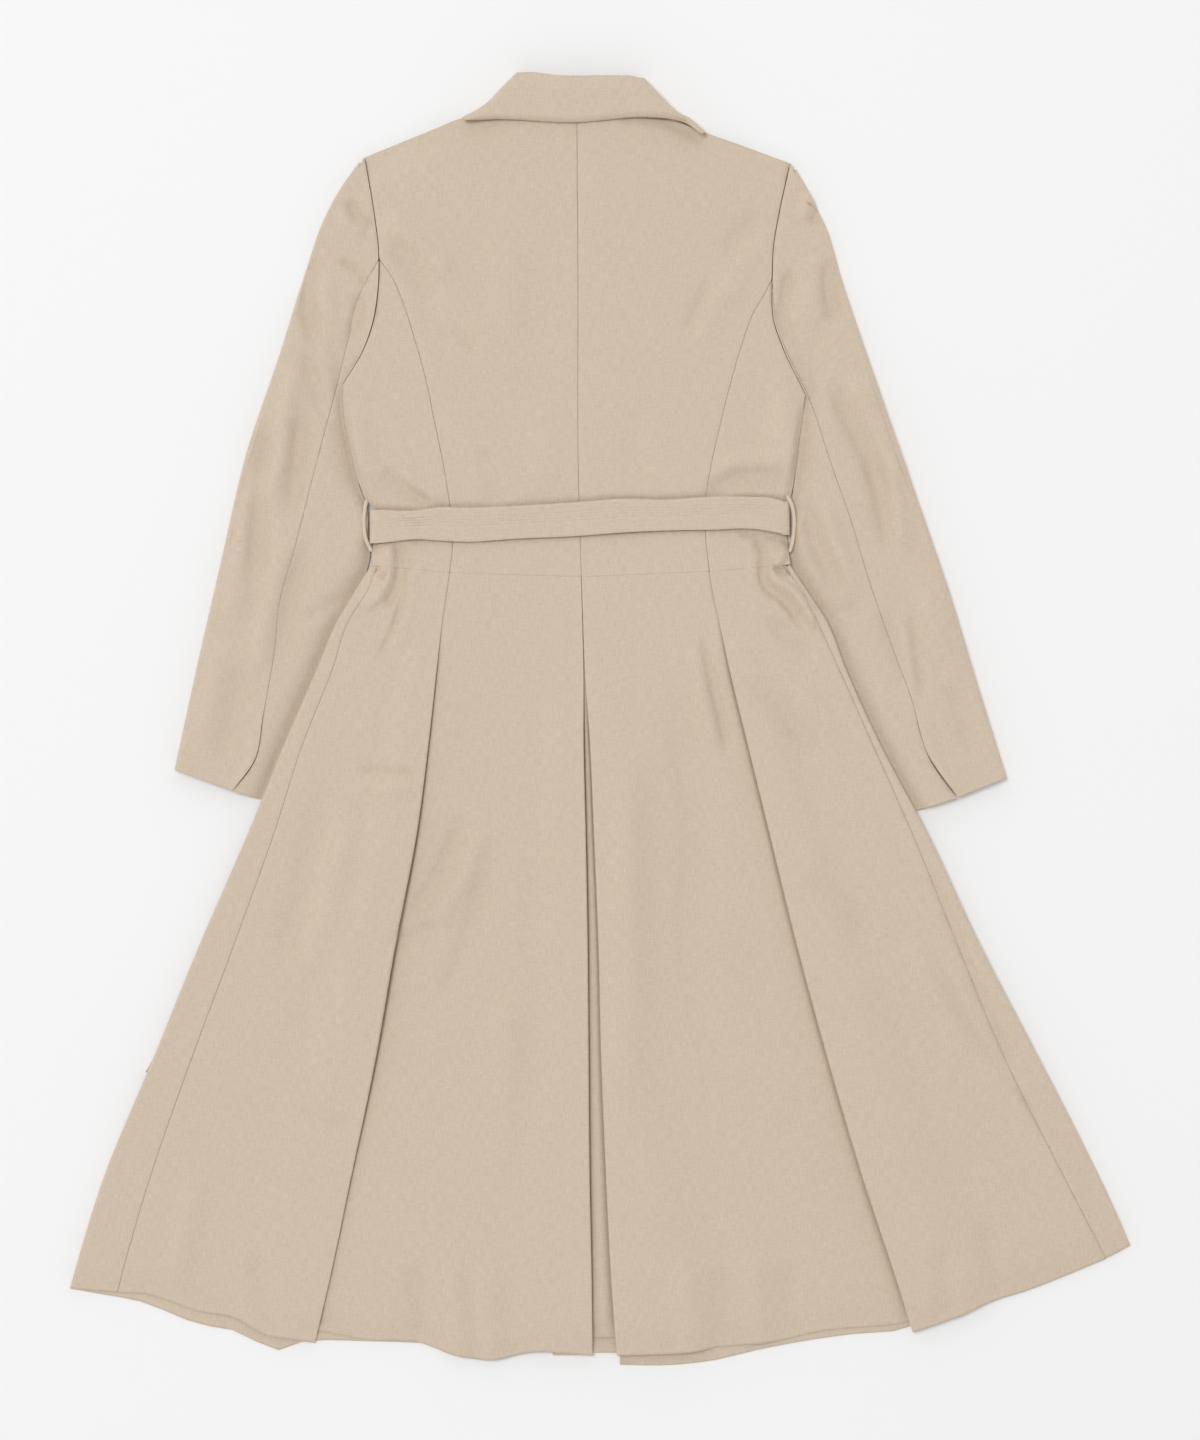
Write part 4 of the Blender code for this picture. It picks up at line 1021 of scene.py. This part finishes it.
half = BELT_WIDTH / 2 * (1 - 2 * BELT_ACROSS)
strips = {}
for side, out in SIDES.items():
    x_edge = BELT_EDGE[side]
    y_edge = np.interp(x_edge, BELT_LINE["x"], BELT_LINE["y"])
    edge = np.array([[(x_edge, y_edge)]])
    high = BELT_BACK + lift(edge)[0, 0]
    radius = (high - BELT_FLOOR) / 2
    angle = np.pi * steps(14)
    x = x_edge - out * (radius + BELT_WALL / 2 - radius * np.sin(angle))
    z = BELT_FLOOR + radius * (1 - np.cos(angle))
    wrap = np.dstack(np.broadcast_arrays(x[:, None], y_edge + half[None], z[:, None]))
    bend = np.radians(90 + out * TAIL_TURN_END * steps(24))
    centre_x, centre_y = x_edge - out * TAIL_START, y_edge - TAIL_TURN
    arc = np.stack([centre_x + TAIL_TURN * np.cos(bend), centre_y + TAIL_TURN * np.sin(bend)], axis=1)
    tail = np.vstack([arc, line((arc[-1], *TAIL[side]), steps(60))[1:]])
    along = unit(np.gradient(tail, axis=0))
    square = out * np.stack([along[:, 1], -along[:, 0]], axis=1)
    flat = tail[:, None] + half[None, :, None] * square[:, None]
    strips[side] = np.concatenate([raised(flat, BELT_FLOOR)[::-1], wrap])
x = np.linspace(strips["left"][-1, 0, 0], strips["right"][-1, 0, 0], 170)[1:-1]
upper = through(x, BELT_EDGES["x"], BELT_EDGES["upper"])
lower = through(x, BELT_EDGES["x"], BELT_EDGES["lower"])
y = upper[:, None] + (lower - upper)[:, None] * BELT_ACROSS
blend = smooth(np.minimum(x - x[0], x[-1] - x) / 14)[:, None]
y = blend * y + (1 - blend) * (through(x, BELT_LINE["x"], BELT_LINE["y"])[:, None] + half)
plan = np.dstack([np.broadcast_to(x[:, None], y.shape), y])
span_height = BELT_BACK + lift(plan) + waves(plan) * blend + creases(plan, BELT_FOLDS)
span_height += blend * belt_relief(BELT_ACROSS)
belt_points = np.concatenate([strips["left"], raised(plan, span_height), strips["right"][::-1]])
panel("belt", belt_points, grain=90, wall=BELT_WALL)


# Belt loops: narrow tubes of paler cloth, one at each side of the waist. They are sewn in at both ends and
# stand out round the belt.

LOOP_RADIUS = 1.8
LOOP_LIGHT = (0.755, 0.630, 0.495, 1)
LOOP_DARK = (0.665, 0.548, 0.425, 1)
LOOP = {
    "left": ((-233, 220, 7), (-234.6, 210, 8), (-235.4, 194, 8.4), (-233, 179, 8), (-227.5, 168, 7)),
    "right": ((186.5, 224, 12), (191, 214.5, 11.6), (193.4, 203, 10.2), (193.4, 190, 8.6), (192, 178, 7.6),
              (189, 167, 7.4)),
}
loop_cloth = cloth_finish("loop_cloth", LOOP_LIGHT, LOOP_DARK)
for side in SIDES:
    path = line(LOOP[side], steps(44))
    along = unit(np.gradient(path, axis=0))
    across = unit(np.cross(along, (0, 0, 1)))
    up = np.cross(across, along)
    angle = np.linspace(0, 2 * np.pi, 15)
    radius = LOOP_RADIUS * (1 + 0.06 * np.cos(2 * angle) - 0.1 * np.exp(-((angle - np.pi / 2) / 0.25) ** 2))
    radius = radius[None] * np.sqrt(np.clip(np.minimum(steps(44), 1 - steps(44)) / 0.02, 0.02, 1))[:, None]
    ring = path[:, None] + radius[..., None] * (np.cos(angle)[None, :, None] * across[:, None]
                                                + np.sin(angle)[None, :, None] * up[:, None])
    mesh = grid_mesh(f"belt_loop_{side}", ring, 0)
    mesh.materials.append(loop_cloth)
    piece = bpy.data.objects.new(f"belt_loop_{side}_cloth", mesh)
    bpy.context.scene.collection.objects.link(piece)
    weld = piece.modifiers.new("seam", "WELD")
    weld.merge_threshold = 0.00002
    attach(piece, "root")
    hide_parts(f"belt_loop_{side}")


# Floor, light and camera: a pale floor, a wide soft lamp high on the left and a weak one on the right, with
# soft light all round that is strongest near the horizon, and a camera that looks straight down.

FLOOR_HALF, FLOOR_Z = 6.0, -0.0004
floor_mesh = bpy.data.meshes.new("floor")
corners = [(x * FLOOR_HALF, y * FLOOR_HALF, FLOOR_Z) for x, y in ((-1, -1), (1, -1), (1, 1), (-1, 1))]
floor_mesh.from_pydata(corners, [], [(0, 1, 2, 3)])
floor = bpy.data.objects.new("floor", floor_mesh)
bpy.context.scene.collection.objects.link(floor)
floor_finish = bpy.data.materials.new("pale_floor")
floor_finish.use_nodes = True
floor_shader = floor_finish.node_tree.nodes["Principled BSDF"]
floor_shader.inputs["Base Color"].default_value = (0.93, 0.93, 0.93, 1)
floor_shader.inputs["Roughness"].default_value = 0.9
floor_shader.inputs["Specular IOR Level"].default_value = 0.1
floor_mesh.materials.append(floor_finish)

WORLD_LOW, WORLD_HIGH = 1.3, 0.485      # strength at the horizon and overhead
WORLD_BAND = 0.6                        # sine of the elevation from which it is even
world = bpy.data.worlds.new("studio")
world.use_nodes = True
nodes, links = world.node_tree.nodes, world.node_tree.links
way, split = nodes.new("ShaderNodeTexCoord"), nodes.new("ShaderNodeSeparateXYZ")
fall = nodes.new("ShaderNodeMapRange")
fall.inputs["From Min"].default_value = 0
fall.inputs["From Max"].default_value = WORLD_BAND
fall.inputs["To Min"].default_value = WORLD_LOW
fall.inputs["To Max"].default_value = WORLD_HIGH
links.new(way.outputs["Generated"], split.inputs["Vector"])
links.new(split.outputs["Z"], fall.inputs["Value"])
links.new(fall.outputs["Result"], nodes["Background"].inputs["Strength"])
nodes["Background"].inputs["Color"].default_value = (1, 1, 1, 1)
bpy.context.scene.world = world

LAMPS = {"key": ((-2.6, 1.8, 9.4), 3.6, 408), "fill": ((5.0, 0.5, 7.5), 3.6, 21)}    # place, size and power
for name, (place, size, power) in LAMPS.items():
    lamp = bpy.data.lights.new(name, "AREA")
    lamp.size = size
    lamp.energy = power
    holder = bpy.data.objects.new(name, lamp)
    holder.location = place
    holder.rotation_euler = Vector(place).to_track_quat("Z", "Y").to_euler()
    bpy.context.scene.collection.objects.link(holder)

CAMERA_HEIGHT = 3.5
PICTURE_HEIGHT = 1.44       # metres of floor from the picture's foot to its top
SENSOR = 36
lens = bpy.data.cameras.new("camera")
lens.sensor_width = SENSOR
lens.lens = SENSOR * CAMERA_HEIGHT / PICTURE_HEIGHT
camera = bpy.data.objects.new("camera", lens)
camera.location = (0, 0, CAMERA_HEIGHT)
bpy.context.scene.collection.objects.link(camera)
bpy.context.scene.camera = camera
bpy.context.scene.view_settings.view_transform = "Standard"
